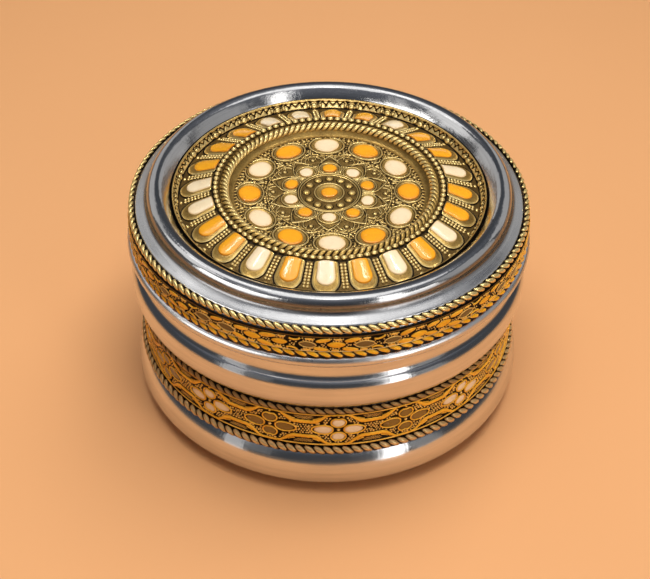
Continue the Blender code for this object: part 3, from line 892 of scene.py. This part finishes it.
def floor_relief(section, theta):
    """Dishes, lotus outlines, scrolls and granules of the sunk floor."""
    radius = section[:, :1] + 0 * theta
    relief = Relief(radius.shape, 0.38)
    seeds = granules(radius * np.cos(theta), radius * np.sin(theta), 1.5, 0.55, 3.0)
    relief.area(seeds > 0.05, 0.25 * seeds, 0.42 + 0.45 * seeds)
    relief.area(seeds <= 0.05, 0.0, 0.17)

    # Arches and a scroll between the dots
    x, y = beside_spoke(radius, theta, DOT_COUNT, FRONT + math.pi / DOT_COUNT)
    for reach in (5.4, 3.7):
        arch = ellipse_distance(x, y, 20.6, reach, reach * 0.92)
        relief.area((arch < 0) & (x > 18.0), 0.12, 0.38)
        relief.ridge(arch, 0.24, 0.42, 0.95, seam=0.2, shown=x > 18.5)
    relief.ridge(np.hypot(x - 21.9, y), 0.85, 0.5, 0.95)
    scroll = curve_points([(25.0, 0.0), (24.6, 1.0), (23.6, 1.6), (22.6, 1.5)], 6)
    relief.ridge(line_distance(x, y, scroll), 0.2, 0.35)

    # A lotus petal and a dish round each dot
    x, y = beside_spoke(radius, theta, DOT_COUNT, FRONT)
    lotus = curve_points([(12.4, 3.4), (15.0, 6.0), (19.0, 5.0), (23.6, 0.0)], 14)
    inside = y < np.interp(x, [p[0] for p in lotus], [p[1] for p in lotus], left=0, right=0)
    relief.area(inside, 0.1, 0.43)
    relief.ridge(line_distance(x, y, lotus), 0.26, 0.5, 1.0, seam=0.24)
    vein = curve_points([(17.5, 4.3), (19.4, 3.7), (20.6, 2.0), (22.0, 0.0)], 8)
    relief.cut(line_distance(x, y, vein), 0.2, 0.12, inside)
    dot = ellipse_distance(x, y, DOT_RING, 3.55, 4.1)
    relief.area(dot < 0.1, 0.08 + 0.34 * ease(dot, -1.3, -0.2), 0.52)
    relief.ridge(dot, 0.24, 0.48, 0.95, seam=0.22)

    # Bosses and rings round the middle
    core = radius < 12.3
    relief.area(core, 0.08, 0.34)
    x, y = beside_spoke(radius, theta, BOSS_COUNT, FRONT)
    relief.ridge(np.hypot(x - 8.85, y), 1.5, 0.7, 0.8, seam=0.3, shown=core)
    relief.ridge(radius - 12.1, 0.28, 0.5, 0.95)
    relief.ridge(radius - 11.25, 0.2, 0.3, 0.85, seam=0.2)
    relief.area(radius < 5.9, 0.08 + 0.34 * ease(radius, 3.5, 5.2), 0.52)
    relief.ridge(radius - 5.7, 0.28, 0.5, 0.95)

    # A beaded ring, scrolls between the ovals and a dish round each
    relief.ridge(radius - 24.3, 0.26, 0.25 + 0.12 * np.sign(np.sin(90 * theta)), 0.8, seam=0.2)
    x, y = beside_spoke(radius, theta, OVAL_COUNT, FRONT + OVAL_TURN + math.pi / OVAL_COUNT)
    relief.ridge(np.hypot(x - 35.2, y), 0.85, 0.5, 0.9)
    for turn in (0.0, 0.75, 1.5):
        spot = np.hypot(x - 35.2 + 2.0 * math.cos(turn), y - 2.0 * math.sin(turn))
        relief.ridge(spot, 0.5, 0.38, 0.85, seam=0.15)
    relief.ridge(line_distance(x, y, ((26.2, 0.0), (28.6, 0.9), (31.6, 0.5))), 0.28, 0.4)
    x, y = beside_spoke(radius, theta, OVAL_COUNT, FRONT + OVAL_TURN)
    oval = ellipse_distance(x, y, OVAL_RING, 5.45, 7.0)
    relief.area(oval < 0.1, 0.12 + 0.45 * ease(oval, -1.5, -0.2), 0.5)
    relief.ridge(oval, 0.28, 0.6, 1.0, seam=0.3)

    # Beads along the floor's edge
    relief.area(radius > 36.15, 0.0, 0.16)
    relief.area(radius > 36.9, 0.0, 0.45)
    from_bead = np.hypot(radius - 36.45, beside_spoke(radius, theta, RIM_BEAD_COUNT, 0.0)[1])
    relief.ridge(from_bead, 0.42, 0.35, 0.8, seam=0.0, shown=radius > 36.0)
    return relief.result()


def plate_petal_section():
    """The plate's crown, petal ground and border, and how many of its points face up."""
    top = [(42.7, 90.28), (43.1, CROWN_Z), (44.2, CROWN_Z), (45.0, CROWN_Z)]
    radii = np.r_[np.linspace(45.3, VALLEY[0][0], 38), np.linspace(57.3, 58.4, 5)]
    radii = np.r_[radii, np.linspace(58.6, PLATE_RADIUS - 0.1, 22)]
    top += [(r, float(plate_ground(r))) for r in radii]
    under = [(PLATE_RADIUS, PLATE_EDGE_Z - 0.25), (PLATE_RADIUS, PLATE_UNDER_Z), (57.2, PLATE_UNDER_Z)]
    return top + under + [(45.2, 89.5), (43.0, 89.6)], len(top)


def plate_floor_section(inner):
    """The sunk floor's middle, or its outer part with the wall up to the crown."""
    if inner:
        top = [(r, FLOOR_Z) for r in np.linspace(0.0, FLOOR_SPLIT, 96)]
        return top + [(FLOOR_SPLIT, FLOOR_UNDER_Z), (0.0, FLOOR_UNDER_Z)], len(top)
    top = [(r, FLOOR_Z) for r in np.linspace(FLOOR_SPLIT, 36.75, 72)]
    top += [(37.4, 86.95), (38.2, 87.15), (38.8, 87.6), (39.4, 88.1), (40.0, 88.6)]
    top += [(41.0, 89.2), (42.6, 90.22)]
    under = [(42.6, 89.5), (39.4, 88.0), (37.2, FLOOR_UNDER_Z), (FLOOR_SPLIT, FLOOR_UNDER_Z)]
    return top + under, len(top)


# Rope trims: strands laid round a ring
def rope_relief(strands, lean, depth, centre, facing, seam, window=(0.0, 0.9), point=4.0, tone=1.0):
    """Heights of slanted strands over a round section.

    lean is the shift in strands from edge to edge, and window the middle and half the reach of a strand
    across the section. A high point makes its ends blunt. Past them the rope is painted black, as painted
    shade.
    tone dims the whole rope and each strand darkens on its lower side, both painted shade."""

    def relief(section, theta):
        turn = np.arctan2(section[:, 1:] - centre[1], section[:, :1] - centre[0]) - math.radians(facing)
        turn = np.mod(turn + math.pi, TAU) - math.pi
        share = turn / math.pi
        phase = strands * theta / TAU + lean * share
        inner = np.abs(np.mod(phase, 1) - 0.5) * 2
        reach = np.abs(share - window[0]) / window[1]
        full = np.maximum((1 - seam) * (1 - np.clip(reach, 0, 1) ** point), 0.02)
        body = np.sqrt(np.clip(1 - np.clip(inner / full, 0, 1) ** 2.6, 0, 1))
        # Painted shade: tone dims the rope, and strands darken below the window's middle
        shade = tone * (1 - 0.35 * ease(window[0] - share, 0.0, 0.3))
        lift = np.where(inner < full, shade * (0.1 + 0.9 * ease(body, 0.0, 0.7)), 0.0)
        amber = ease(body, 0.5, 0.8)
        return depth * (body - 1), {"lift": lift, "amber": amber, "brown": 0 * amber}

    return relief


def rope(name, strands, lean, depth, centre, radius, flat, facing, *looks):
    """A rope ring of round section, cut flat at a distance from its centre on the side it doesn't face."""
    half = 180 - math.degrees(math.acos(flat / radius))
    section = arc(centre, (radius, radius), facing + half, facing - half, 24)
    relief = rope_relief(strands, lean, depth, centre, facing, *looks)
    return turned(name, section, strands * STRAND_COLUMNS, relief, len(section))


# Embossed bands
def band_base(name, inner, outer, low, high, lines, amber):
    """A plain strip with raised edge lines, each a (middle, half height, rise) in millimetres."""
    section = [(outer, high)]
    for middle, half, rise in sorted(lines, reverse=True):
        for t in np.linspace(0, math.pi, 7):
            section.append((outer + rise * math.sin(t), middle + half * math.cos(t)))
    section += [(outer, low), (inner, low), (inner, high)]
    obj = turned(name, section, STRIP_COLUMNS)
    radius = np.array([vertex.co.xy.length for vertex in obj.data.vertices]) / MM
    lift = np.clip((radius - outer) / 0.3, 0, 1)
    add_values(obj.data, {"lift": lift, "amber": amber * lift, "brown": 0 * lift})
    return obj


def petal_line(centre, half_u, half_v, point):
    """A closed petal, round towards the flower's middle and pointed away from it."""
    turns = np.radians(np.linspace(180, 0, 13))
    upper = [(centre + half_u * math.cos(t), half_v * math.sin(t) ** 0.85) for t in turns]
    upper = [(u + point * max(0.0, (u - centre) / half_u) ** 3, v) for u, v in upper]
    return upper + [(u, -v) for u, v in upper[-2:0:-1]]


def heart_line(centre, half_u, half_v, notch):
    """A closed round petal above the flower's middle, with a notch at its outer end."""
    made = []
    for turn in around(28):
        dent = notch * math.exp(-(((turn - math.pi / 2) / 0.35) ** 2))
        made.append((half_u * math.cos(turn), centre + half_v * math.sin(turn) - dent))
    return made


def from_nearest(along, pitch):
    """The distance along a band from the nearest whole number of pitches."""
    return np.abs(np.mod(along + pitch / 2, pitch) - pitch / 2)


def wave_height(along):
    """The wavy border's distance from the band's middle, along from a flower."""
    return 7.7 - 3.8 * ease(from_nearest(along, WAIST_PERIOD), 3.0, 9.6)


def wave_half(from_trough):
    """Half the wavy border's width, which swells towards a trough."""
    return 0.36 + 0.60 * ease(from_trough, 11.0, 4.5)


def loose_grid(radius, spacing, rows, row_step, loose, seeds):
    """Points in staggered rows round a band, each moved a little along it and across it."""
    columns = round(TAU * radius / spacing)
    column, row = np.meshgrid(np.arange(columns), np.arange(-rows, rows + 1))
    along = column + 0.5 * np.mod(row, 2) + loose[0] * (scatter(column, row, seeds[0]) - 0.5)
    across = row + loose[1] * (scatter(row, column, seeds[1]) - 0.5)
    return (along * (TAU * radius / columns)).ravel(), (across * row_step).ravel()


def waist_sheet():
    """Flowers, wavy strokes, half-moon cells and granules of the waist band."""
    sheet, period = Sheet(), WAIST_PERIOD
    starts = FLOWER_TURN * WAIST_BAND_RADIUS + period * np.arange(FLOWER_COUNT)
    flowers = np.c_[starts, 0 * starts]
    troughs = flowers + (period / 2, 0)
    side = ribbon(petal_line(5.6, 3.5, 2.28, 1.1), 0.34, 0.55, True, 0.9)
    tall = ribbon(heart_line(3.75, 2.85, 2.3, 0.6), 0.34, 0.55, True, 0.9)
    for sign in (1, -1):
        sheet.add(side, flowers, mirror=(sign, 1))
        sheet.add(tall, flowers, mirror=(1, sign))
        sheet.add(grain(0.5, 0.45, 8, 0.6), flowers + (0, sign * 6.75))
    for across in (-1.0, 1.0):
        sheet.add(grain(0.42, 0.4, 8, 0.6), flowers + (across, -6.6))
    sheet.add(grain(0.7, 0.7, 12, 0.5), flowers)

    steps = 44
    along = np.arange(FLOWER_COUNT * steps) * period / steps
    from_trough = np.abs(np.mod(along, period) - period / 2)
    height = wave_height(along)
    wobble = 0.1 * np.sin(along * 2.9) + 0.07 * np.sin(along * 5.3 + 1.0)
    half = wave_half(from_trough) + 0.06 * np.sin(along * 3.7) * np.sin(along * 0.9)
    for sign in (1, -1):
        line = np.c_[along + starts[0], sign * (height + wobble)]
        sheet.add(wave_ribbon(line, half))
        curl = [(-1.5, 0.15), (-0.6, 0.35), (0.4, 0.8), (1.0, 1.3)]
        tooth = ribbon(curve_points(curl, 7), np.linspace(0.30, 0.10, 8), 0.45, False, 0.9)
        for way in (1, -1):
            sheet.add(tooth, troughs + (way * 4.9, sign * 5.0), mirror=(way, sign))

    cell = [(4.1 * math.cos(t), -2.1 * math.sin(t) ** 0.8) for t in np.radians(np.linspace(0, 180, 19))]
    cell = [(u, v + 0.16 * math.sin(7 * u)) for u, v in cell]
    seeds = [(u, v) for u in np.arange(-3.5, 3.6, 0.55) for v in (-0.45, -1.0, -1.55) if cell_room(u, v)]
    for sign in (1, -1):
        sheet.add(cushion(cell, 0.22, 0.0, 0.8, 0.45), troughs + (0, sign * 7.2), mirror=(1, sign))
        for number, (u, v) in enumerate(seeds):
            shift = (u + 0.2 * math.sin(9.1 * number), sign * (7.2 + v))
            sheet.add(raised(grain(0.19, 0.18, 5, 0.7), 0.2), troughs + shift)
    dots = waist_dots()
    sizes = 0.8 + 0.45 * scatter(dots[:, 0], dots[:, 1], 2.0)
    sheet.add(grain(0.47, 0.4, 7, 0.6), dots + (starts[0], 0), sizes=sizes)
    return sheet


def raised(body, height):
    """The same small body, higher over the ground."""
    points, faces, values = body
    return points + (0, 0, height), faces, values


def cell_room(u, v):
    """Whether a granule fits inside a half-moon cell."""
    return (u / 3.9) ** 2 + (v / 2.1) ** 2 < 1


def wave_ribbon(line, half):
    """The wavy stroke round the whole band. Its last point meets its first one turn further on."""
    turn_length = TAU * WAIST_BAND_RADIUS
    long_line = np.vstack([line[-1] - (turn_length, 0), line, line[0] + (turn_length, 0)])
    loops, lifts = ribbon_loops(line, long_line[2:] - long_line[:-2], half, 0.5)
    faces = [face[::-1] for face in grid_faces(len(line), len(RIBBON_PROFILE))]
    return loops.reshape(-1, 3), faces, toned(lifts, 0.95)


def waist_dots():
    """Places for granules, clear of the flowers and inside the wavy strokes."""
    x, y = loose_grid(WAIST_BAND_RADIUS, 1.12, 7, 1.0, (0.36, 0.36), (1.0, 4.0))
    u, depth = from_nearest(x, WAIST_PERIOD), np.abs(y)
    clear = depth < wave_height(x) - wave_half(WAIST_PERIOD / 2 - u) - 0.45
    clear &= np.hypot((u - 5.5) / 4.5, depth / 3.1) > 1
    clear &= ~((u > 7.5) & (u < 11.0) & (depth < 1.75 - 0.45 * (u - 7.5)))
    clear &= np.hypot(u / 3.7, (depth - 3.65) / 3.3) > 1
    clear &= np.hypot(u, depth) > 1.9
    return np.c_[x[clear], y[clear]]


def lid_sheet():
    """Lozenges, leaves and granules of the lid band, uneven as if chased by hand."""
    sheet, pitch = Sheet(), LOZENGE_PITCH
    turns = np.radians(np.linspace(180, 0, 13))
    lozenge = [(3.3 * math.cos(t), 1.45 * math.sin(t) ** 1.3) for t in turns]
    lozenge += [(u, -v) for u, v in lozenge[-2:0:-1]]
    leaf = petal_line(0.0, 2.7, 1.0, 0.6)
    small_leaf = cushion(petal_line(0.0, 1.35, 0.5, 0.3), 0.35, 0.8)
    hook = curve_points([(-2.1, 0.5), (-1.0, -0.5), (1.0, -0.5), (2.1, 0.5)], 8)
    for index in range(LOZENGE_COUNT):
        centre = LOZENGE_TURN * LID_BAND_RADIUS + index * pitch
        chance = scatter(np.arange(12.0), float(index), 3.0)
        amber = LOZENGE_COLOURS[index] == "A"
        drop = -0.75 * (chance[0] > 0.6) * amber + 0.3 * (chance[1] - 0.5)
        turn = 0.16 * (chance[2] - 0.5)
        size = 0.86 + 0.22 * chance[3]
        shift = ((centre, drop),)
        sheet.add(cushion(lozenge, 0.42, float(amber), float(not amber), 0.9), shift, turns=turn, sizes=size)
        if not amber:
            sheet.add(ribbon(lozenge, 0.17, 0.5, True, 0.5), shift, turns=turn, sizes=size * 1.06)
        for side in (1, -1):
            spread = 0.5 * (chance[4] - 0.5)
            place = ((centre + pitch / 2 + spread + side * 0.4, side * (1.95 + 0.2 * chance[5])),)
            lean = side * 0.16 + 0.2 * (chance[6] - 0.5)
            full = chance[7] > 0.25
            body = cushion(leaf, 0.46, 0.95) if full else ribbon(hook, 0.42, 0.46, False, 0.95)
            sheet.add(body, place, mirror=(1, side), turns=lean, sizes=0.9 + 0.2 * chance[8])
            sheet.add(small_leaf, ((centre + side * 0.5, side * 2.55),))
    dots = lid_dots()
    sheet.add(grain(0.38, 0.36, 7, 0.5), dots, sizes=0.8 + 0.4 * scatter(dots[:, 0], dots[:, 1], 5.0))
    return sheet


def lid_dots():
    """Places for granules, clear of the lozenges and leaves."""
    x, y = loose_grid(LID_BAND_RADIUS, 1.05, 3, 0.92, (0.4, 0.3), (6.0, 9.0))
    u, depth = from_nearest(x - LOZENGE_TURN * LID_BAND_RADIUS, LOZENGE_PITCH), np.abs(y)
    clear = np.hypot(u / 3.8, depth / 1.75) > 1
    clear &= np.hypot((LOZENGE_PITCH / 2 - u) / 3.1, (depth - 2.0) / 1.15) > 1
    return np.c_[x[clear], y[clear]]


def oval_outline(half_x, half_y, seed):
    """A hand-filled oval, a little uneven."""
    turn = around(40)
    waves = np.sin(2 * turn + seed) + 0.8 * np.sin(3 * turn + 2.3 * seed) + 0.6 * np.sin(5 * turn + seed)
    grow = 1 + 0.02 * waves
    size = 1 + 0.04 * math.sin(5.1 * seed)
    return np.c_[half_x * size * grow * np.cos(turn), half_y * grow / size * np.sin(turn)]


# The pieces, in the order in which they are made
def build_steel(brushed, polished):
    """The box's and the lid's sheet."""
    body = turned("steel_body", body_section(), STEEL_COLUMNS)
    finish_piece(body, "box", "steel", brushed, "body_shell")
    lid = turned("steel_lid", lid_section(), STEEL_COLUMNS)
    finish_piece(lid, "lid", "steel", polished, "lid_shell")


def bead(rings, columns, dark, bright):
    """A ball's points, faces and tones, which rise with the height from dark to bright."""
    points, faces = ball(rings, columns)
    return points, faces, {"lift": [0.2 + 0.8 * float(ease(np.float64(p[2]), dark, bright)) for p in points]}


def build_plate(brass):
    """The pressed plate inside the lid's ring, with its tongues, beads and rope."""

    def finish(piece, *nodes):
        finish_piece(piece, "lid", "antique_brass", brass, *nodes)

    section, active = plate_petal_section()
    columns = PETAL_COUNT * PETAL_COLUMNS
    finish(turned("plate_petal_zone", section, columns, petal_ground_relief, active), "top_plate")
    for name, columns in zip(("plate_floor_middle", "plate_floor_outer"), FLOOR_COLUMNS):
        section, active = plate_floor_section(name == "plate_floor_middle")
        finish(turned(name, section, columns, floor_relief, active))
    turns = spokes(PETAL_COUNT, FRONT + PETAL_TURN)
    finish(joined("plate_tongues", tongue_mesh(), [Matrix.Rotation(turn, 4, "Z") for turn in turns]))

    size = Matrix.Diagonal((0.64, 0.62, 0.6, 1.0))
    tilt = math.atan2(CROWN_Z - VALLEY[0][1], VALLEY[0][0] - CROWN_RADII[1])
    copies = []
    for turn in turns:
        for radius in (BEAD_ROW_START + BEAD_ROW_STEP * row for row in range(BEAD_ROWS)):
            for side in (-BEAD_SIDE, BEAD_SIDE):
                middle = turn + math.pi / PETAL_COUNT + side / radius
                copies.append(placed(middle, radius, float(plate_ground(radius)) + 0.08, tilt) @ size)
    finish(joined("plate_bead_columns", bead(6, 10, -0.1, 0.6), copies))

    size = Matrix.Diagonal((0.95, 1.2, 0.9, 1.0))
    turns = spokes(RING_BEAD_COUNT, 0.0)
    copies = [placed(turn, RING_BEAD_RADIUS, CROWN_Z + 0.72) @ size for turn in turns]
    finish(joined("plate_beads", bead(8, 14, -0.3, 0.45), copies), "plate_bead_ring")
    finish(rope("plate_rope", 104, -1.2, 0.6, (40.8, 90.05), 1.8, 0.95, 122.0, 0.2), "plate_rope_ring")


def build_bands(brass, worn, amber_brass):
    """The strips of box and lid, and the ropes along them."""
    middle = WAIST_BAND_Z
    edges = ((middle + 7.75, 0.36, 0.42), (middle - 8.15, 0.36, 0.42))
    base = band_base("waist_strip", 73.95, WAIST_BAND_RADIUS, *WAIST_BAND_ENDS, edges, 0.85)
    finish_piece(base, "box", "amber_brass", amber_brass, "waist_band")
    work = waist_sheet().laid("waist_ornament", on_band(WAIST_BAND_RADIUS, middle))
    finish_piece(work, "box", "amber_brass", amber_brass)
    low, high = LID_BAND_ENDS
    edges = ((high - 0.35, 0.28, 0.12), (low + 0.45, 0.2, 0.42))
    base = band_base("lid_strip", 77.2, LID_BAND_RADIUS, low, high, edges, 0.2)
    finish_piece(base, "lid", "amber_brass", amber_brass, "lid_band")
    work = lid_sheet().laid("lid_ornament", on_band(LID_BAND_RADIUS, (low + high) / 2 - 0.2))
    finish_piece(work, "lid", "amber_brass", amber_brass)
    low = rope("waist_cord_lower", 132, 1.0, 0.55, (75.4, 22.1), 1.75, 1.2, 0.0, 0.2, (0.16, 0.4), 5.0)
    finish_piece(low, "box", "antique_brass", worn, "waist_rope_lower")
    # The upper cord's tone of 0.6 dims it as painted shade under the shoulder
    high = rope("waist_cord_upper", 132, 1.1, 0.45, (75.1, 42.9), 1.4, 1.1, 0.0, 0.2, (0.1, 0.42), 4.0, 0.6)
    finish_piece(high, "box", "antique_brass", worn, "waist_rope_upper")
    low = rope("lid_cord_lower", 114, 1.15, 0.6, (77.0, 74.2), 1.6, -0.2, 0.0, 0.12, (0.19, 0.36), 2.4)
    finish_piece(low, "lid", "amber_brass", amber_brass, "lid_rope_lower")
    high = rope("lid_cord_upper", 142, 1.1, 0.55, (76.7, 85.1), 1.45, 0.45, 31.0, 0.14, (0.05, 0.5), 3.0)
    finish_piece(high, "lid", "antique_brass", brass, "lid_rope_upper")


def build_inlays(cream, orange):
    """The enamel of the plate, each inlay a piece of its own."""

    def add(kind, index, body, spot, pale):
        piece = joined(f"{kind}_{index + 1:02d}", body, [spot])
        finish = ("cream_enamel", cream) if pale else ("orange_enamel", orange)
        finish_piece(piece, "lid", *finish, f"{kind}_enamel_{index + 1:02d}")

    body = petal_mesh()
    for index, turn in enumerate(spokes(PETAL_COUNT, FRONT + PETAL_TURN)):
        add("petal", index, body, Matrix.Rotation(turn, 4, "Z"), PETAL_COLOURS[index] == "C")
    sets = (
        ("oval", OVAL_COUNT, OVAL_RING, OVAL_TURN, OVAL_HALVES),
        ("dot", DOT_COUNT, DOT_RING, 0.0, DOT_HALVES),
    )
    for kind, count, ring, start, halves in sets:
        for index, turn in enumerate(spokes(count, FRONT + start)):
            body = pad(oval_outline(*halves, 1.7 * index), 0.4, 0.16)
            add(kind, index, body, placed(turn, ring, INLAY_Z), index % 2 == 0)
    body = pad(oval_outline(3.1, 3.2, 0.4), 0.3, 0.2)
    piece = joined("centre_dot", body, [placed(0.0, 0.0, INLAY_Z)])
    finish_piece(piece, "lid", "orange_enamel", orange, "centre_enamel")


def build_flowers(tan, olive):
    """The enamel of the waist's flowers: pale and olive ones in turn."""
    side = pad(petal_line(5.45, 3.15, 1.98, 0.7), 0.2, 0.14)
    tall = pad(heart_line(3.65, 2.45, 1.98, 0.5), 0.2, 0.14)
    for name, first, material in (("waist_flowers_pale", 0, tan), ("waist_flowers_olive", 1, olive)):
        sheet = Sheet()
        starts = FLOWER_TURN * WAIST_BAND_RADIUS + WAIST_PERIOD * np.arange(first, FLOWER_COUNT, 2)
        for sign in (1, -1):
            sheet.add(raised(side, 0.3), np.c_[starts, 0 * starts], mirror=(sign, 1))
            sheet.add(raised(tall, 0.3), np.c_[starts, 0 * starts], mirror=(1, sign))
        flowers = sheet.laid(name, on_band(WAIST_BAND_RADIUS, WAIST_BAND_Z))
        finish_piece(flowers, "box", "cream_enamel" if first == 0 else "amber_brass", material)


# Floor, lamps and camera
def build_stage():
    """The orange floor and the room round it."""
    bpy.ops.mesh.primitive_plane_add(size=8.0, location=(0, 0, 0))
    floor = bpy.context.object
    floor.name = "floor"
    shader = Shader("floor_paper")
    cloud = shader.noise(shader.place(), 5.0, 2.0, 0.5)
    colour = shader.mix(cloud, (0.79, 0.38, 0.153), (0.82, 0.405, 0.17))
    floor.data.materials.append(shader.set(base_color=colour, roughness=0.75))
    build_world()


def build_world():
    """A dim studio as the metal sees it: dark walls, grey sides and a paler ceiling."""
    shader = Shader("studio", "worlds", "Background")
    bpy.context.scene.world = shader.owner
    around = shader.node("ShaderNodeTexCoord").outputs["Generated"]
    height = shader.node("ShaderNodeSeparateXYZ", {0: around}).outputs[2]
    stops = (
        (0.0, (0.60, 0.34, 0.17)),
        (0.06, (0.16, 0.13, 0.11)),
        (0.25, (0.060, 0.060, 0.064)),
        (0.65, (0.060, 0.067, 0.080)),
        (0.88, (0.16, 0.17, 0.20)),
        (1.0, (0.45, 0.47, 0.50)),
    )
    shader.feed(shader.surface.inputs["Color"], shader.ramp(height, stops))
    shader.surface.inputs["Strength"].default_value = 1.0


def toward(azimuth_deg, elevation_deg, reach):
    """A point in metres at an azimuth right of the camera's side, an elevation and a level distance."""
    turn = math.radians(azimuth_deg)
    return Vector((math.sin(turn), -math.cos(turn), math.tan(math.radians(elevation_deg)))) * reach


def softbox(name, low, high, width, radiance, mirrored, lights):
    """A rectangular lamp whose middle line runs from low to high, turned to the box.

    A lamp that isn't mirrored fills the shadows and leaves the metal's reflections alone.
    lights is a collection of the only objects that the lamp lights, or None for all."""
    along = high - low
    middle = (low + high) / 2
    up = along.normalized()
    back = middle - Vector((0, 0, 0.06))
    back = (back - up * back.dot(up)).normalized()
    data = bpy.data.lights.new(name, "AREA")
    data.shape = "RECTANGLE"
    data.size, data.size_y = width, along.length
    data.energy = radiance * math.pi * width * along.length
    obj = bpy.data.objects.new(name, data)
    obj.matrix_world = Matrix.Translation(middle) @ Matrix((up.cross(back), up, back)).transposed().to_4x4()
    obj.visible_glossy = mirrored
    obj.light_linking.receiver_collection = lights
    bpy.context.scene.collection.objects.link(obj)


# Lamps by what they light and whether the metal mirrors them. Each lamp: name, azimuth, elevation and
# level distance of its low end and of its high end, width and radiance
LAMPS = (
    (None, True, (
        ("overhead", (180, 74, 0.27), (0, 72, 0.29), 0.60, 0.88),
        ("overhead_left", (-128, 74, 0.26), (-128, 52, 0.65), 0.42, 1.0),
        ("overhead_right", (105, 72, 0.30), (105, 60, 0.52), 0.30, 0.8),
        ("right_core", (33, 0, 0.85), (46, 60, 0.70), 0.17, 2.2),
        ("right_flank", (53, 0, 0.95), (56, 38, 0.95), 0.27, 0.2),
        ("left_core", (-46, 0, 0.90), (-60, 56, 0.75), 0.18, 0.45),
        ("left_flank", (-36, 12, 1.0), (-40, 46, 0.9), 0.30, 0.10),
        ("glint", (-6, 82, 0.12), (10, 76, 0.21), 0.10, 2.5),
    )),
    ("lid_steel", True, (
        ("lid_right", (45, 4, 0.95), (45, 34, 0.92), 0.62, 1.3),
        ("lid_left", (-54, 12, 0.95), (-54, 42, 0.85), 0.80, 2.1),
        ("lid_side", (-100, 30, 0.95), (-100, 58, 0.6), 0.5, 0.8),
        ("lid_far", (88, 10, 0.95), (88, 50, 0.7), 0.6, 0.3),
        ("lid_rear_left", (-142, 14, 0.95), (-142, 42, 0.85), 0.8, 0.42),
        ("lid_rear_right", (138, 14, 0.95), (138, 42, 0.85), 0.8, 0.36),
    )),
    ("box_trim", True, (
        ("streak_left", (-118, 62, 0.52), (-136, 79, 0.19), 0.022, 30.0),
        ("streak_right", (113, 60, 0.55), (124, 78, 0.20), 0.022, 30.0),
        ("overhead_back", (180, 56, 0.58), (180, 73, 0.29), 0.55, 1.3),
    )),
    ("plate_only", True, (
        ("border_front", (0, 18, 0.95), (0, 46, 0.72), 0.75, 2.6),
    )),
    (None, False, (
        ("fill_back", (140, 50, 0.95), (140, 75, 0.45), 0.9, 3.6),
    )),
    ("box_only", False, (
        ("fill_front", (30, 42, 1.0), (30, 66, 0.65), 0.8, 5.6),
    )),
    ("floor_only", False, (
        ("fill_floor", (150, 80, 0.17), (-8, 66, 0.44), 0.55, 5.45),
    )),
)


def build_lamps():
    """The lamps, and collections of the objects that some of them light alone."""
    groups = {
        "lid_steel": lambda name: name == "steel_lid",
        "floor_only": lambda name: name == "floor",
        "box_only": lambda name: name != "floor",
        "box_trim": lambda name: name not in ("floor", "steel_lid", "steel_body"),
        "plate_only": lambda name: name.startswith("plate_"),
    }
    lit = {None: None}
    for group, belongs in groups.items():
        lit[group] = bpy.data.collections.new(group)
        for obj in bpy.context.scene.objects:
            if obj.type == "MESH" and belongs(obj.name):
                lit[group].objects.link(obj)
    for group, mirrored, lamps in LAMPS:
        for name, low, high, width, radiance in lamps:
            softbox(name, toward(*low), toward(*high), width, radiance, mirrored, lit[group])


# The camera, fitted to the photo, and the photo's width
FOCAL_PX = 1500.0
ELEVATION_DEG = 41.33
DISTANCE = 0.6173
LOOK_Z = 0.0369
ROLL_DEG = 0.81
OBJECT_SHIFT_PX = 2.93
IMAGE_WIDTH = 650


def build_camera():
    """The photo's camera."""
    data = bpy.data.cameras.new("camera")
    data.sensor_width = 36.0
    data.lens = FOCAL_PX / IMAGE_WIDTH * data.sensor_width
    data.shift_x = -OBJECT_SHIFT_PX / IMAGE_WIDTH
    camera = bpy.data.objects.new("camera", data)
    tip = math.radians(ELEVATION_DEG)
    camera.location = (0, -DISTANCE * math.cos(tip), LOOK_Z + DISTANCE * math.sin(tip))
    look = Vector((0, 0, LOOK_Z)) - camera.location
    facing = look.to_track_quat("-Z", "Y").to_matrix().to_4x4()
    turn = (facing @ Matrix.Rotation(math.radians(ROLL_DEG), 4, "Z")).to_euler()
    camera.rotation_euler = turn
    bpy.context.scene.collection.objects.link(camera)
    bpy.context.scene.camera = camera


def build():
    """The whole scene."""
    brushed = steel_material("steel_brushed", 0.15, 0.05, 0.04, 0.00015)
    polished = steel_material("steel_polished", 0.14, 0.04, 0.05, 0.00018, 0.14)
    brass = brass_material("brass_antique", BRONZE, BRASS, GOLD, metal=0.7)
    worn_tones = (0.20, 0.115, 0.04), (0.42, 0.25, 0.09), (0.66, 0.43, 0.18)
    worn = brass_material("brass_worn", *worn_tones, metal=0.5)
    amber_brass = brass_material("brass_amber", (0.10, 0.055, 0.015), (0.36, 0.22, 0.07), GOLD, True)
    cream = enamel_material("enamel_cream", (0.93, 0.74, 0.47), (0.80, 0.53, 0.24))
    orange = enamel_material("enamel_orange", (0.93, 0.40, 0.014), (0.72, 0.24, 0.008))
    tan = enamel_material("enamel_tan", (0.84, 0.66, 0.43), (0.58, 0.34, 0.13))
    olive = enamel_material("enamel_olive", (0.20, 0.095, 0.003), (0.10, 0.045, 0.002))
    build_steel(brushed, polished)
    build_plate(brass)
    build_bands(brass, worn, amber_brass)
    build_inlays(cream, orange)
    build_flowers(tan, olive)
    build_stage()
    build_lamps()
    build_camera()
    bpy.context.scene.view_settings.view_transform = "Standard"


build()
